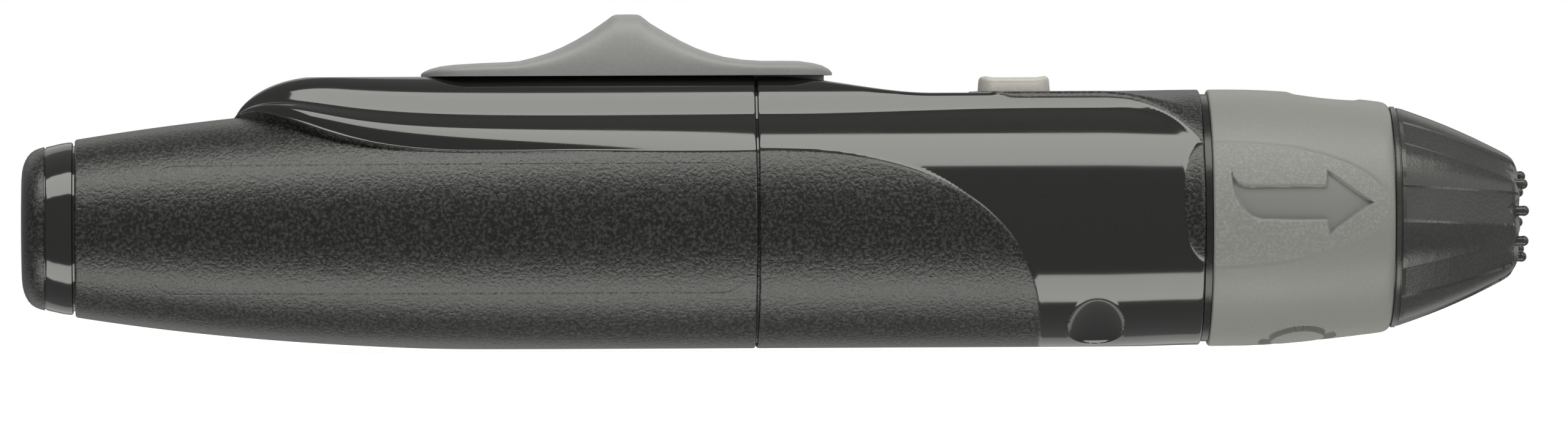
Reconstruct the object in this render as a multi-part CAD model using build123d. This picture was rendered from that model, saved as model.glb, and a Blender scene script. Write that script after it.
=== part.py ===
from build123d import *
import math
import os

# Lengths along the barrel, from the rear face of the end cap to the tips of the beads
END_CAP_LENGTH = 3.95
REAR_BARREL_LENGTH = 51.8
FRONT_BARREL_LENGTH = 33.85
SLEEVE_FLANGE = 0.5
COLLAR_LENGTH = 13.9
NOSE_LENGTH = 9.82
BEAD_REACH = 0.7
SEAM_GAP = 0.15
CAP_GAP = 0.06

# Round body of the barrel
AXIS_HEIGHT = 9.8
BODY_RADIUS = 10.05
TAIL_RADIUS = 6.75
TAIL_DROP = 0.45
TAPER_POWER = 2.7
TAPER_STEPS = 6
WALL = 1.5

# Raised rail on the top of the barrel
RAIL_TOP = 11.0
DECK_TOP = 9.62
RAIL_START = 12.2
RAIL_RISE = 8.2
RISE_SHARE = 0.3
RISE_BOW = 0.68
RISE_SLOPE = 3.0
RAIL_CREST = 3.0
RAIL_HALF = 7.25
RAIL_FLARE = 1.15
RAIL_SHOULDER = 9.37
RAIL_WAIST = 6.97
RAIL_FOOT = 8.45
RAIL_FOOT_HEIGHT = 5.35
DECK_FALL_START = 0.6
DECK_FALL = 13.0
SHOULDER_RADIUS = 9.8
SHOULDER_BLEND = 12.0
DECK_EDGE = 0.35

# Clearances
RUN_CLEAR = 0.05
SLIDE_CLEAR = 0.1
FREE_CLEAR = 0.3

# End cap
CAP_CORNER = 1.7
CAP_END_RADIUS = 6.6
CAP_LINE_AT = 1.85
CAP_LINE = 0.12
SPIGOT_RADIUS = 4.6
SPIGOT_LENGTH = 4.6
POST_RADIUS = 2.6
POST_LENGTH = 6.0

# Thumb slider and what rides with it
PRIME_STROKE = 6.5
EJECT_STROKE = 9.5
SLIDER_REAR = 25.4
SLIDER_FRONT = 6.0
SLIDER_HALF = 4.2
SLIDER_PEAK = 15.7
PEAK_FROM_REAR = 14.7
PEAK_FLAT = 2.2
WING_RISE = 1.05
WING_DROP = 0.5
REAR_FLANK = 7.0
FRONT_FLANK = 8.4
FLANK_MIDDLE = 2.8
FLANK_SHARE = 0.46
SLIDER_ROUND = 0.7
TRACK_HALF = 2.6
TRACK_DEPTH = 0.9
STEM_BACK = 15.35
STEM_LENGTH = 5.0
STEM_HALF = 1.4
SHOE_EXTRA = 2.0
SHOE_HALF = 3.2
SHOE_HEIGHT = 1.25
ROOF = 0.7
LEG_HALF = 1.1
ROD_RADIUS = 1.4
ROD_TENON = 0.7
ROD_TENON_LENGTH = 3.0

# Carriage
OVERRUN = 2.5
SOCKET_RADIUS = 3.1
SOCKET_DEPTH = 11.0
SOCKET_WALL = 1.5
HOLDER_LAP = 2.0
HOLDER_STEP = 0.7
SOCKET_BACK = 1.0
TAIL_TUBE_RADIUS = 3.4
CARRIAGE_BORE = 1.9
DRUM_RADIUS = 5.8
DRUM_LENGTH = 16.0
FLANGE_RADIUS = 5.2
FLANGE_THICK = 2.0
GUIDE_LENGTH = 4.0
FRONT_WALL = 5.6
BUFFER_THICK = 0.6

# Springs
DRIVE_WIRE = 0.8
DRIVE_MEAN = 3.4
DRIVE_TURNS = 6
RETURN_WIRE = 0.5
RETURN_MEAN = 5.15
RETURN_TURNS = 5
LATCH_WIRE = 0.3
LATCH_MEAN = 0.7
LATCH_TURNS = 3
TURN_STEPS = 12

# Release button and latch
BUTTON_BACK = 14.1
BUTTON_LENGTH = 5.3
BUTTON_HALF = 2.6
BUTTON_TOP = 10.97
BUTTON_DISH = 0.12
BUTTON_LIP = 0.5
BUTTON_TRAVEL = 0.6
BUTTON_CORNER = 1.0
FLANGE_HEIGHT = 0.7
NUB_HALF = 0.5
DECK_ROOF = 0.9
LATCH_FRONT_ARM = 5.75
LATCH_REAR_ARM = 6.3
LATCH_TIP = 0.8
LATCH_HALF = 1.8
LATCH_THICK = 0.8
TOOTH_LENGTH = 1.5
PIN_RADIUS = 0.6
BOSS_RADIUS = 1.1
EAR_THICK = 1.0
EAR_LENGTH = 2.6
LATCH_LIFT = 1.1
SPRING_POCKET = 1.5
SPRING_ARM = 5.4

# Neck and cap
NECK_RADIUS = 7.6
NECK_LENGTH = 8.2
SLEEVE_WALL = 0.65
SLEEVE_FLANGE_RADIUS = 9.45
SLEEVE_WEB = 1.2
SLEEVE_TUBE_RADIUS = 5.9
SLEEVE_TUBE_WALL = 1.0
SLEEVE_TUBE_LENGTH = 8.4
KEY_HALF = 1.0
KEY_REACH = 0.25
KEY_LENGTH = 2.0
SEAL_WIDTH = 1.2
SEAL_DEPTH = 0.7
SEAL_BACK = 4.6
SPIGOT_JOINT_WALL = 1.2
SPIGOT_JOINT_LENGTH = 6.0

# Twist collar
COLLAR_RADIUS = 9.8
COLLAR_STEP = 0.4
COLLAR_STRAIGHT = 2.6
COLLAR_BOW = 0.17
COLLAR_EDGE = 0.45
COLLAR_LIP = 0.8
COLLAR_LIP_REACH = 1.1

# Depth nose, its clip, washer and stop
NOSE_ROOT_WALL = 2.55
NOSE_TAPER = 3.75
NOSE_STEP = 0.25
NOSE_BOW = 0.2
NOSE_TIP_ROUND = 1.1
NOSE_RIM = 0.45
NOSE_FRONT_WALL = 1.7
NOSE_SHELL = 1.4
NOSE_LIP_SET = 0.275
NOSE_LIP_DROP = 0.6
NOSE_FACE_DROP = 1.375
APERTURE_RADIUS = 2.1
FLUTES = 8
FLUTE_TURN = -8.0
FLUTE_DEPTH = 0.35
FLUTE_CUTTER = 2.6
NOTCH_RADIUS = 0.85
NOTCH_TILT = 45.0
BEAD_RADIUS = 0.4
BEAD_RING = 3.1
WASHER_THICK = 0.3
CLIP_WIDTH = 0.7
CLIP_DEPTH = 0.45
CLIP_BACK = 1.8
CLIP_GAP_HALF = 1.2
STOP_WALL = 1.35
STOP_TRAVEL = 1.0
STOP_SEAT = 2.0

# Dimple on the side of the front barrel
DIMPLE_BACK = 8.0
DIMPLE_TURN = 144.0
DIMPLE_BALL = 4.6
DIMPLE_DEPTH = 0.5

# Stations along the axis
X_REAR = END_CAP_LENGTH + SEAM_GAP
X_SEAM = X_REAR + REAR_BARREL_LENGTH
X_JOIN = X_SEAM + SEAM_GAP
X_FRONT = X_JOIN + FRONT_BARREL_LENGTH
X_SLEEVE = X_FRONT + CAP_GAP
X_COLLAR = X_SLEEVE + SLEEVE_FLANGE + CAP_GAP
X_COLLAR_END = X_COLLAR + COLLAR_LENGTH
X_NOSE = X_COLLAR_END + CAP_GAP
X_NOSE_END = X_NOSE + NOSE_LENGTH
LENGTH = X_NOSE_END + BEAD_REACH
X_NECK_END = X_FRONT + NECK_LENGTH
X_WALL = X_FRONT - FRONT_WALL
X_SPIGOT = X_REAR + SPIGOT_LENGTH
X_STEM = X_SEAM - STEM_BACK
X_BUTTON = X_FRONT - BUTTON_BACK
X_PIVOT = X_BUTTON - LATCH_FRONT_ARM
X_TOOTH = X_PIVOT - LATCH_REAR_ARM
X_DRUM = X_TOOTH - SLIDE_CLEAR + PRIME_STROKE
X_SOCKET = X_NECK_END - SOCKET_BACK
X_FLOOR = X_SOCKET - SOCKET_DEPTH
X_ROD_TIP = X_FLOOR - PRIME_STROKE - FREE_CLEAR
X_WEB = X_NECK_END + FREE_CLEAR
X_TUBE = X_WEB + SLEEVE_WEB
X_LIP = X_TUBE + SLIDE_CLEAR
X_WASHER = X_LIP + COLLAR_LIP + RUN_CLEAR
X_SKIRT = X_WASHER + WASHER_THICK + RUN_CLEAR
X_TUBE_END = X_TUBE + SLEEVE_TUBE_LENGTH
X_CLIP = X_TUBE_END - CLIP_BACK
X_STOP = X_SKIRT + STOP_TRAVEL
X_STOP_END = X_TUBE_END + FREE_CLEAR + STOP_SEAT

# Heights above the axis that several pieces share
TRACK_FLOOR = RAIL_TOP - TRACK_DEPTH
SHOE_TOP = TRACK_FLOOR - ROOF - SLIDE_CLEAR
SHOE_BOTTOM = SHOE_TOP - SHOE_HEIGHT
BORE_RADIUS = BODY_RADIUS - WALL - SLIDE_CLEAR
BUTTON_CEILING = DECK_TOP - DECK_ROOF
FLANGE_TOP = BUTTON_CEILING - RUN_CLEAR
FLANGE_BOTTOM = FLANGE_TOP - FLANGE_HEIGHT
LATCH_TOP = FLANGE_BOTTOM - BUTTON_TRAVEL - 2 * RUN_CLEAR
LATCH_BOTTOM = LATCH_TOP - LATCH_THICK
PIVOT_HEIGHT = DRUM_RADIUS + BOSS_RADIUS + SLIDE_CLEAR
TOOTH_BOTTOM = DRUM_RADIUS + SLIDE_CLEAR
LATCH_CEILING = LATCH_TOP + LATCH_LIFT
SLEEVE_BORE = NECK_RADIUS + RUN_CLEAR
SLEEVE_RADIUS = SLEEVE_BORE + SLEEVE_WALL
COLLAR_BORE = SLEEVE_RADIUS + RUN_CLEAR
SOCKET_OUTER = SOCKET_RADIUS + SOCKET_WALL
HOLDER_SPIGOT = SOCKET_RADIUS + HOLDER_STEP
NECK_BORE = SOCKET_OUTER + RUN_CLEAR
TUBE_BORE = SLEEVE_TUBE_RADIUS - SLEEVE_TUBE_WALL
STOP_RADIUS = TUBE_BORE - RUN_CLEAR
NOSE_BORE = SLEEVE_TUBE_RADIUS + RUN_CLEAR
NOSE_RADIUS = NOSE_BORE + NOSE_ROOT_WALL
NOSE_TIP_RADIUS = NOSE_RADIUS - NOSE_TAPER
NOSE_SKIRT_RADIUS = NOSE_RADIUS - NOSE_STEP
COLLAR_FRONT_BORE = NOSE_SKIRT_RADIUS + SLIDE_CLEAR
COLLAR_FRONT_RADIUS = NOSE_RADIUS + COLLAR_STEP
JOINT_RADIUS = BORE_RADIUS - RUN_CLEAR
REACH = 2 * BODY_RADIUS


def turned(points):
    """Solid of revolution about the barrel axis from (x, radius) points."""
    outline = Polyline([(x, 0, radius) for x, radius in points], close=True)
    return revolve(make_face(outline), Axis.X)


def tube(start, end, outer, inner):
    """Plain ring between two stations."""
    return turned([(start, inner), (end, inner), (end, outer), (start, outer)])


def rod(start, end, radius):
    """Plain cylinder on the barrel axis."""
    return Location((start, 0, 0), (0, 90, 0)) * Cylinder(
        radius, end - start, align=(Align.CENTER, Align.CENTER, Align.MIN)
    )


def block(x_low, x_high, half, z_low, z_high):
    """Box that is symmetrical across the barrel."""
    size = Box(x_high - x_low, 2 * half, z_high - z_low, align=(Align.MIN, Align.CENTER, Align.MIN))
    return Location((x_low, 0, z_low)) * size


def body_radius(x):
    """Radius of the round body at a station of the rear barrel."""
    share = min(1.0, max(0.0, (x - X_REAR) / REAR_BARREL_LENGTH))
    return BODY_RADIUS - (BODY_RADIUS - TAIL_RADIUS) * (1 - share) ** TAPER_POWER


def body_drop(x):
    """How far the round body's centre lies below the axis."""
    return TAIL_DROP * (X_SEAM - x) / REAR_BARREL_LENGTH


def rear_body():
    """Tapered round body, its centre line falling towards the tail."""
    past = X_SEAM + WALL
    stations = [X_REAR + REAR_BARREL_LENGTH * step / TAPER_STEPS for step in range(TAPER_STEPS + 1)]
    side = Spline([(x, 0, body_radius(x)) for x in stations])
    tail = X_REAR - WALL
    rest = Polyline(
        [(X_SEAM, 0, BODY_RADIUS), (past, 0, BODY_RADIUS), (past, 0, 0), (tail, 0, 0),
         (tail, 0, TAIL_RADIUS), (X_REAR, 0, TAIL_RADIUS)]
    )
    body = revolve(make_face([side, rest]), Axis.X)
    lean = -math.degrees(math.atan2(TAIL_DROP, REAR_BARREL_LENGTH))
    body = Location((X_SEAM, 0, 0)) * Rotation(0, lean, 0) * Location((-X_SEAM, 0, 0)) * body
    return body & block(X_REAR, X_SEAM, REACH, -REACH, REACH)


def rail_section():
    """Cross-section of the rail, run along the whole barrel."""
    crest = (0, RAIL_CREST, RAIL_TOP)
    flank = Spline(
        [crest, (0, RAIL_HALF - RAIL_FLARE, RAIL_SHOULDER), (0, RAIL_HALF, RAIL_WAIST),
         (0, RAIL_FOOT, RAIL_FOOT_HEIGHT)], tangents=[(0, 1, 0), (0, 1, -1)]
    )
    rest = Polyline([(0, RAIL_FOOT, RAIL_FOOT_HEIGHT), (0, 0, 0), (0, 0, RAIL_TOP), crest])
    half = extrude(make_face([flank, rest]), LENGTH, dir=(1, 0, 0))
    return half + mirror(half, Plane.XZ)


def rear_rail():
    """Rail of the rear barrel, with its rounded rear end."""
    start = X_REAR + RAIL_START
    low = body_radius(start) - body_drop(start) - WALL / 2
    rise = Spline(
        [(start, 0, low), (start + RAIL_RISE * RISE_SHARE, 0, low + (RAIL_TOP - low) * RISE_BOW),
         (start + RAIL_RISE, 0, RAIL_TOP)], tangents=[(1, 0, RISE_SLOPE), (1, 0, 0)]
    )
    rest = Polyline(
        [(start + RAIL_RISE, 0, RAIL_TOP), (X_SEAM, 0, RAIL_TOP), (X_SEAM, 0, 0), (start, 0, 0),
         (start, 0, low)]
    )
    side = extrude(make_face([rise, rest]), REACH, dir=(0, 1, 0), both=True)
    edge = Spline(
        [(start, 0, 0), (start + RAIL_RISE / 3, RAIL_HALF / 2, 0), (start + 2 * RAIL_RISE, RAIL_HALF, 0),
         (X_SEAM, RAIL_FOOT, 0)], tangents=[(0, 1, 0), (1, 0, 0)]
    )
    close = Polyline([(X_SEAM, RAIL_FOOT, 0), (X_SEAM, 0, 0), (start, 0, 0)])
    plan = extrude(make_face([edge, close]), REACH)
    return rail_section() & side & (plan + mirror(plan, Plane.XZ))


def front_rail():
    """Rail of the front barrel, falling to the deck and trimmed round at the collar."""
    fall = X_SEAM + DECK_FALL_START
    drop = Spline(
        [(fall, 0, RAIL_TOP), (fall + DECK_FALL / 2, 0, (RAIL_TOP + DECK_TOP) / 2),
         (fall + DECK_FALL, 0, DECK_TOP)], tangents=[(1, 0, 0), (1, 0, 0)]
    )
    rest = Polyline(
        [(fall + DECK_FALL, 0, DECK_TOP), (X_FRONT, 0, DECK_TOP), (X_FRONT, 0, 0), (X_JOIN, 0, 0),
         (X_JOIN, 0, RAIL_TOP), (fall, 0, RAIL_TOP)]
    )
    side = extrude(make_face([drop, rest]), REACH, dir=(0, 1, 0), both=True)
    blend = X_FRONT - SHOULDER_BLEND
    cone = turned(
        [(X_JOIN, 0), (X_JOIN, REACH), (blend, REACH), (blend, RAIL_TOP + DECK_EDGE),
         (X_FRONT, SHOULDER_RADIUS), (X_FRONT, 0)]
    )
    return rail_section() & side & cone


def belly_cut(solid):
    """Flatten the strip that the device lies on."""
    return solid - block(-LENGTH, 2 * LENGTH, REACH, -AXIS_HEIGHT - REACH, -AXIS_HEIGHT)


def coil(start, end, mean, wire, turns):
    """Compression spring on the barrel axis, square wire in straight runs."""
    steps = turns * TURN_STEPS
    run = (end - start - wire - 2 * RUN_CLEAR) / steps
    points = []
    for step in range(steps + 1):
        angle = 2 * math.pi * step / TURN_STEPS
        x = start + RUN_CLEAR + wire / 2 + run * step
        points.append((x, mean * math.sin(angle), mean * math.cos(angle)))
    path = Polyline(points)
    plane = Plane(origin=points[0], x_dir=(1, 0, 0), z_dir=path % 0)
    return sweep(plane * Rectangle(wire, wire), path=path, transition=Transition.RIGHT)


def end_cap():
    """Rounded plug at the rear, with a post for the drive spring."""
    face_radius = CAP_END_RADIUS - CAP_CORNER
    corner = Spline(
        [(0, 0, face_radius), (CAP_CORNER / 3, 0, CAP_END_RADIUS - CAP_CORNER / 2),
         (CAP_LINE_AT, 0, CAP_END_RADIUS - CAP_LINE)]
    )
    skirt = Polyline(
        [(CAP_LINE_AT, 0, CAP_END_RADIUS - CAP_LINE), (END_CAP_LENGTH, 0, CAP_END_RADIUS),
         (END_CAP_LENGTH, 0, 0), (0, 0, 0), (0, 0, face_radius)]
    )
    dome = revolve(make_face([corner, skirt]), Axis.X)
    dome -= tube(CAP_LINE_AT - CAP_LINE, CAP_LINE_AT + CAP_LINE, REACH, CAP_END_RADIUS - 2 * CAP_LINE)
    plug = rod(END_CAP_LENGTH, X_SPIGOT, SPIGOT_RADIUS)
    post = rod(X_SPIGOT, X_SPIGOT + POST_LENGTH, POST_RADIUS)
    return Location((0, 0, -TAIL_DROP)) * dome + plug + post


def rear_barrel():
    """Tapered rear shell with the slider track, slot and carrier channel."""
    rise = X_REAR + RAIL_START
    shell = rear_body() + rear_rail()
    shell -= rod(X_REAR - SEAM_GAP, X_SPIGOT + FREE_CLEAR, SPIGOT_RADIUS + RUN_CLEAR)
    cavity_ends = [X_SPIGOT, rise, X_STEM - SHOE_EXTRA - STEM_LENGTH - PRIME_STROKE]
    walls = [(x, body_radius(x) - body_drop(x) - WALL) for x in cavity_ends]
    cavity = [(X_SPIGOT, 0)] + walls
    cavity += [(cavity_ends[-1], BORE_RADIUS - WALL / 2), (X_SEAM - SPIGOT_JOINT_LENGTH, BORE_RADIUS)]
    cavity += [(X_SEAM + SEAM_GAP, BORE_RADIUS), (X_SEAM + SEAM_GAP, 0)]
    shell -= turned(cavity)
    shell -= track()
    rear = X_STEM - STEM_LENGTH / 2 - PRIME_STROKE - FREE_CLEAR
    shell -= block(rear, X_SEAM + SEAM_GAP, STEM_HALF + SLIDE_CLEAR, 0, RAIL_TOP)
    channel = rear - SHOE_EXTRA
    shell -= block(channel, X_SEAM + SEAM_GAP, SHOE_HALF + SLIDE_CLEAR, 0, SHOE_TOP + SLIDE_CLEAR)
    return belly_cut(shell)


def track():
    """Sunk track for the slider's tongue."""
    rear = X_SEAM - SLIDER_REAR + SLIDER_ROUND * 2 - PRIME_STROKE
    return block(rear, X_SEAM + DECK_FALL, TRACK_HALF, TRACK_FLOOR, TRACK_FLOOR + REACH)


def front_barrel():
    """Front shell with the deck, the neck, the latch ears and the joint spigot."""
    blend = X_FRONT - SHOULDER_BLEND
    body = turned(
        [(X_JOIN, 0), (X_JOIN, BODY_RADIUS), (blend, BODY_RADIUS), (X_FRONT, SHOULDER_RADIUS), (X_FRONT, 0)]
    )
    shell = body - block(X_JOIN, X_FRONT, REACH, DECK_TOP, REACH) + front_rail()
    shell -= rod(X_JOIN - SEAM_GAP, X_WALL, BORE_RADIUS)
    shell -= track()
    shell += tube(X_SEAM - SPIGOT_JOINT_LENGTH, X_JOIN + SPIGOT_JOINT_LENGTH, JOINT_RADIUS,
                  JOINT_RADIUS - SPIGOT_JOINT_WALL)
    shell += tube(X_JOIN, X_JOIN + SPIGOT_JOINT_LENGTH, BORE_RADIUS + WALL / 2, JOINT_RADIUS - RUN_CLEAR)
    shell += rod(X_FRONT, X_NECK_END, NECK_RADIUS)
    shell += block(X_NECK_END - KEY_LENGTH, X_NECK_END, KEY_HALF, -NECK_RADIUS - KEY_REACH, -SOCKET_OUTER)
    shell -= rod(X_WALL - FREE_CLEAR, X_NECK_END + FREE_CLEAR, NECK_BORE)
    seal = X_FRONT + SEAL_BACK
    shell -= tube(seal - SEAL_WIDTH / 2, seal + SEAL_WIDTH / 2, REACH, NECK_RADIUS - SEAL_DEPTH)
    shell -= block(X_SEAM - SPIGOT_JOINT_LENGTH, X_JOIN, SHOE_HALF + FREE_CLEAR, 0, REACH)
    return belly_cut(latch_room(shell) - dimple())


def latch_room(shell):
    """Pockets and ears for the button, latch and latch spring."""
    rear = X_TOOTH - FREE_CLEAR - LATCH_LIFT
    shell -= block(rear, X_PIVOT, LATCH_HALF + FREE_CLEAR, DRUM_RADIUS, LATCH_CEILING)
    tip = X_BUTTON + BUTTON_LENGTH / 2 + BUTTON_LIP + SLIDE_CLEAR
    shell -= block(X_PIVOT - SLIDE_CLEAR, tip, LATCH_HALF + FREE_CLEAR, DRUM_RADIUS, BUTTON_CEILING)
    half = BUTTON_LENGTH / 2 + BUTTON_LIP + SLIDE_CLEAR
    lip = BUTTON_HALF + BUTTON_LIP + SLIDE_CLEAR
    shell -= block(X_BUTTON - half, X_BUTTON + half, lip, DRUM_RADIUS, BUTTON_CEILING)
    shell -= button_prism(SLIDE_CLEAR, DRUM_RADIUS, REACH)
    pocket = Cylinder(LATCH_MEAN + LATCH_WIRE, SPRING_POCKET, align=(Align.CENTER, Align.CENTER, Align.MIN))
    shell -= Location((X_PIVOT - SPRING_ARM, 0, LATCH_TOP)) * pocket
    inner = LATCH_HALF + FREE_CLEAR
    ears = block(X_PIVOT - EAR_LENGTH / 2, X_PIVOT + EAR_LENGTH / 2, inner + EAR_THICK,
                 LATCH_BOTTOM - BOSS_RADIUS / 2, BUTTON_CEILING)
    ears -= block(X_PIVOT - EAR_LENGTH, X_PIVOT + EAR_LENGTH, inner, 0, REACH)
    return shell + ears - cross_pin(PIN_RADIUS, inner + EAR_THICK)


def cross_pin(radius, half):
    """Cylinder across the barrel at the latch pivot."""
    return Location((X_PIVOT, 0, PIVOT_HEIGHT), (90, 0, 0)) * Cylinder(radius, 2 * half)


def button_prism(grow, low, high):
    """Upright rounded block in the button's outline."""
    plan = RectangleRounded(BUTTON_LENGTH + 2 * grow, 2 * (BUTTON_HALF + grow), BUTTON_CORNER + grow)
    return Location((X_BUTTON, 0, low)) * extrude(plan, high - low)


def dimple():
    """Ball that presses the index dimple into the side."""
    reach = SHOULDER_RADIUS + DIMPLE_BALL - DIMPLE_DEPTH
    angle = math.radians(DIMPLE_TURN)
    centre = (X_FRONT - DIMPLE_BACK, -reach * math.sin(angle), reach * math.cos(angle))
    return Location(centre) * Sphere(DIMPLE_BALL)


def thumb_slider():
    """Saddle-shaped slider with its tongue and stem."""
    rear = X_SEAM - SLIDER_REAR
    front = X_SEAM + SLIDER_FRONT
    base = RAIL_TOP + SLIDE_CLEAR
    wing = base + WING_RISE
    peak = rear + PEAK_FROM_REAR
    middle = wing + (SLIDER_PEAK - wing) * FLANK_SHARE
    back = Spline(
        [(rear + SLIDER_ROUND, 0, wing - WING_DROP), (peak - REAR_FLANK, 0, wing),
         (peak - FLANK_MIDDLE, 0, middle), (peak, 0, SLIDER_PEAK)]
    )
    brow = peak + PEAK_FLAT
    crest = Line((peak, 0, SLIDER_PEAK), (brow, 0, SLIDER_PEAK))
    slope = Spline(
        [(brow, 0, SLIDER_PEAK), (brow + FLANK_MIDDLE, 0, middle), (brow + FRONT_FLANK, 0, wing),
         (front - SLIDER_ROUND, 0, wing - WING_DROP)]
    )
    bottom = Polyline(
        [(front - SLIDER_ROUND, 0, wing - WING_DROP), (front, 0, base), (rear, 0, base),
         (rear + SLIDER_ROUND, 0, wing - WING_DROP)]
    )
    saddle = extrude(make_face([back, crest, slope, bottom]), SLIDER_HALF, dir=(0, 1, 0), both=True)
    plan = RectangleRounded(front - rear, 2 * SLIDER_HALF, SLIDER_HALF - SLIDER_ROUND)
    saddle &= Location(((rear + front) / 2, 0, base)) * extrude(plan, REACH)
    tongue = block(rear + 2 * SLIDER_ROUND, front - SLIDER_ROUND, TRACK_HALF - SLIDE_CLEAR,
                   TRACK_FLOOR + SLIDE_CLEAR, base)
    stem = block(X_STEM - STEM_LENGTH / 2, X_STEM + STEM_LENGTH / 2, STEM_HALF, SHOE_BOTTOM, base)
    return saddle + tongue + stem


def slider_carrier():
    """Shoe under the rail, with the leg that holds the ejector rod."""
    half = STEM_LENGTH / 2
    shoe = block(X_STEM - half - SHOE_EXTRA, X_STEM + half + SHOE_EXTRA, SHOE_HALF, SHOE_BOTTOM, SHOE_TOP)
    shoe -= block(X_STEM - half, X_STEM + half, STEM_HALF, SHOE_BOTTOM, SHOE_TOP)
    leg = block(X_STEM - half, X_STEM + half, LEG_HALF, -LEG_HALF, SHOE_BOTTOM)
    feet = block(X_STEM - half - SHOE_EXTRA, X_STEM + half + SHOE_EXTRA, LEG_HALF, SHOE_BOTTOM - SHOE_HEIGHT,
                 SHOE_BOTTOM)
    hole = rod(X_STEM + half - ROD_TENON_LENGTH, X_STEM + half, ROD_TENON)
    return shoe + leg + feet - hole


def ejector_rod():
    """Rod from the carrier's leg to just behind the lancet socket."""
    start = X_STEM + STEM_LENGTH / 2
    return rod(start, X_ROD_TIP, ROD_RADIUS) + rod(start - ROD_TENON_LENGTH, start, ROD_TENON)


def carriage_rear():
    """Station of the carriage's rear face."""
    return X_STEM - STEM_LENGTH / 2 - PRIME_STROKE - OVERRUN - FLANGE_THICK * 2


def lancet_carriage():
    """Carriage with the catch drum, the slotted tail and the spigot for the holder."""
    rear = carriage_rear()
    drum = X_DRUM - DRUM_LENGTH
    shoulder = X_FLOOR - HOLDER_LAP
    body = turned(
        [(rear, CARRIAGE_BORE), (rear, FLANGE_RADIUS), (rear + FLANGE_THICK, FLANGE_RADIUS),
         (rear + FLANGE_THICK, TAIL_TUBE_RADIUS), (drum, TAIL_TUBE_RADIUS), (drum, DRUM_RADIUS),
         (X_DRUM, DRUM_RADIUS), (X_DRUM, SOCKET_OUTER), (shoulder, SOCKET_OUTER),
         (shoulder, HOLDER_SPIGOT), (X_FLOOR, HOLDER_SPIGOT), (X_FLOOR, CARRIAGE_BORE)]
    )
    start = X_STEM - STEM_LENGTH / 2 - PRIME_STROKE - OVERRUN - FREE_CLEAR
    end = X_STEM + STEM_LENGTH / 2 + PRIME_STROKE + EJECT_STROKE + FREE_CLEAR
    return body - block(start, end, LEG_HALF + FREE_CLEAR, 0, REACH)


def lancet_holder():
    """Holder with the lancet socket, pushed on to the carriage's spigot."""
    body = tube(X_FLOOR - HOLDER_LAP, X_SOCKET, SOCKET_OUTER, SOCKET_RADIUS)
    return body - rod(X_FLOOR - HOLDER_LAP, X_FLOOR, HOLDER_SPIGOT + RUN_CLEAR)


def carriage_guide():
    """Ring that guides the carriage's drum."""
    end = X_TOOTH - LATCH_LIFT - 2 * FREE_CLEAR
    return tube(end - GUIDE_LENGTH, end, JOINT_RADIUS - SPIGOT_JOINT_WALL, DRUM_RADIUS + RUN_CLEAR)


def buffer_ring():
    """Soft washer between the return spring and the front wall."""
    return tube(X_WALL - BUFFER_THICK, X_WALL, DRUM_RADIUS, NECK_BORE + RUN_CLEAR)


def drive_spring():
    """Main spring between the end cap and the carriage."""
    return coil(X_SPIGOT, carriage_rear(), DRIVE_MEAN, DRIVE_WIRE, DRIVE_TURNS)


def return_spring():
    """Weaker spring that draws the carriage back after the stroke."""
    return coil(X_DRUM, X_WALL - BUFFER_THICK, RETURN_MEAN, RETURN_WIRE, RETURN_TURNS)


def latch_spring():
    """Small spring above the rear arm of the latch."""
    length = SPRING_POCKET
    upright = Location((X_PIVOT - SPRING_ARM, 0, LATCH_TOP), (0, -90, 0))
    return upright * coil(0, length, LATCH_MEAN, LATCH_WIRE, LATCH_TURNS)


def release_button():
    """Dished button with a flange that keeps it in the deck."""
    cap = button_prism(0, FLANGE_BOTTOM, BUTTON_TOP)
    half = BUTTON_LENGTH / 2
    ball = (half * half + BUTTON_DISH * BUTTON_DISH) / (2 * BUTTON_DISH)
    cap -= Location((X_BUTTON, 0, BUTTON_TOP - BUTTON_DISH + ball)) * Sphere(ball)
    nub = block(X_BUTTON - NUB_HALF, X_BUTTON + NUB_HALF, LATCH_HALF, LATCH_TOP + RUN_CLEAR, FLANGE_BOTTOM)
    return cap + button_prism(BUTTON_LIP, FLANGE_BOTTOM, FLANGE_TOP) + nub


def latch_lever():
    """See-saw lever whose tooth holds the primed carriage."""
    beam = block(X_TOOTH, X_BUTTON + LATCH_TIP, LATCH_HALF, LATCH_BOTTOM, LATCH_TOP)
    tooth = block(X_TOOTH, X_TOOTH + TOOTH_LENGTH, LATCH_HALF, TOOTH_BOTTOM, LATCH_BOTTOM)
    boss = cross_pin(BOSS_RADIUS, LATCH_HALF)
    return beam + tooth + boss - cross_pin(PIN_RADIUS + RUN_CLEAR, REACH)


def latch_pin():
    """Pin that the latch swings on."""
    return cross_pin(PIN_RADIUS, LATCH_HALF + FREE_CLEAR + EAR_THICK)


def neck_seal():
    """Ring in the neck's groove that holds the cap by friction."""
    seal = X_FRONT + SEAL_BACK
    return tube(seal - SEAL_WIDTH / 2, seal + SEAL_WIDTH / 2, NECK_RADIUS + RUN_CLEAR / 2,
                NECK_RADIUS - SEAL_DEPTH)


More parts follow.
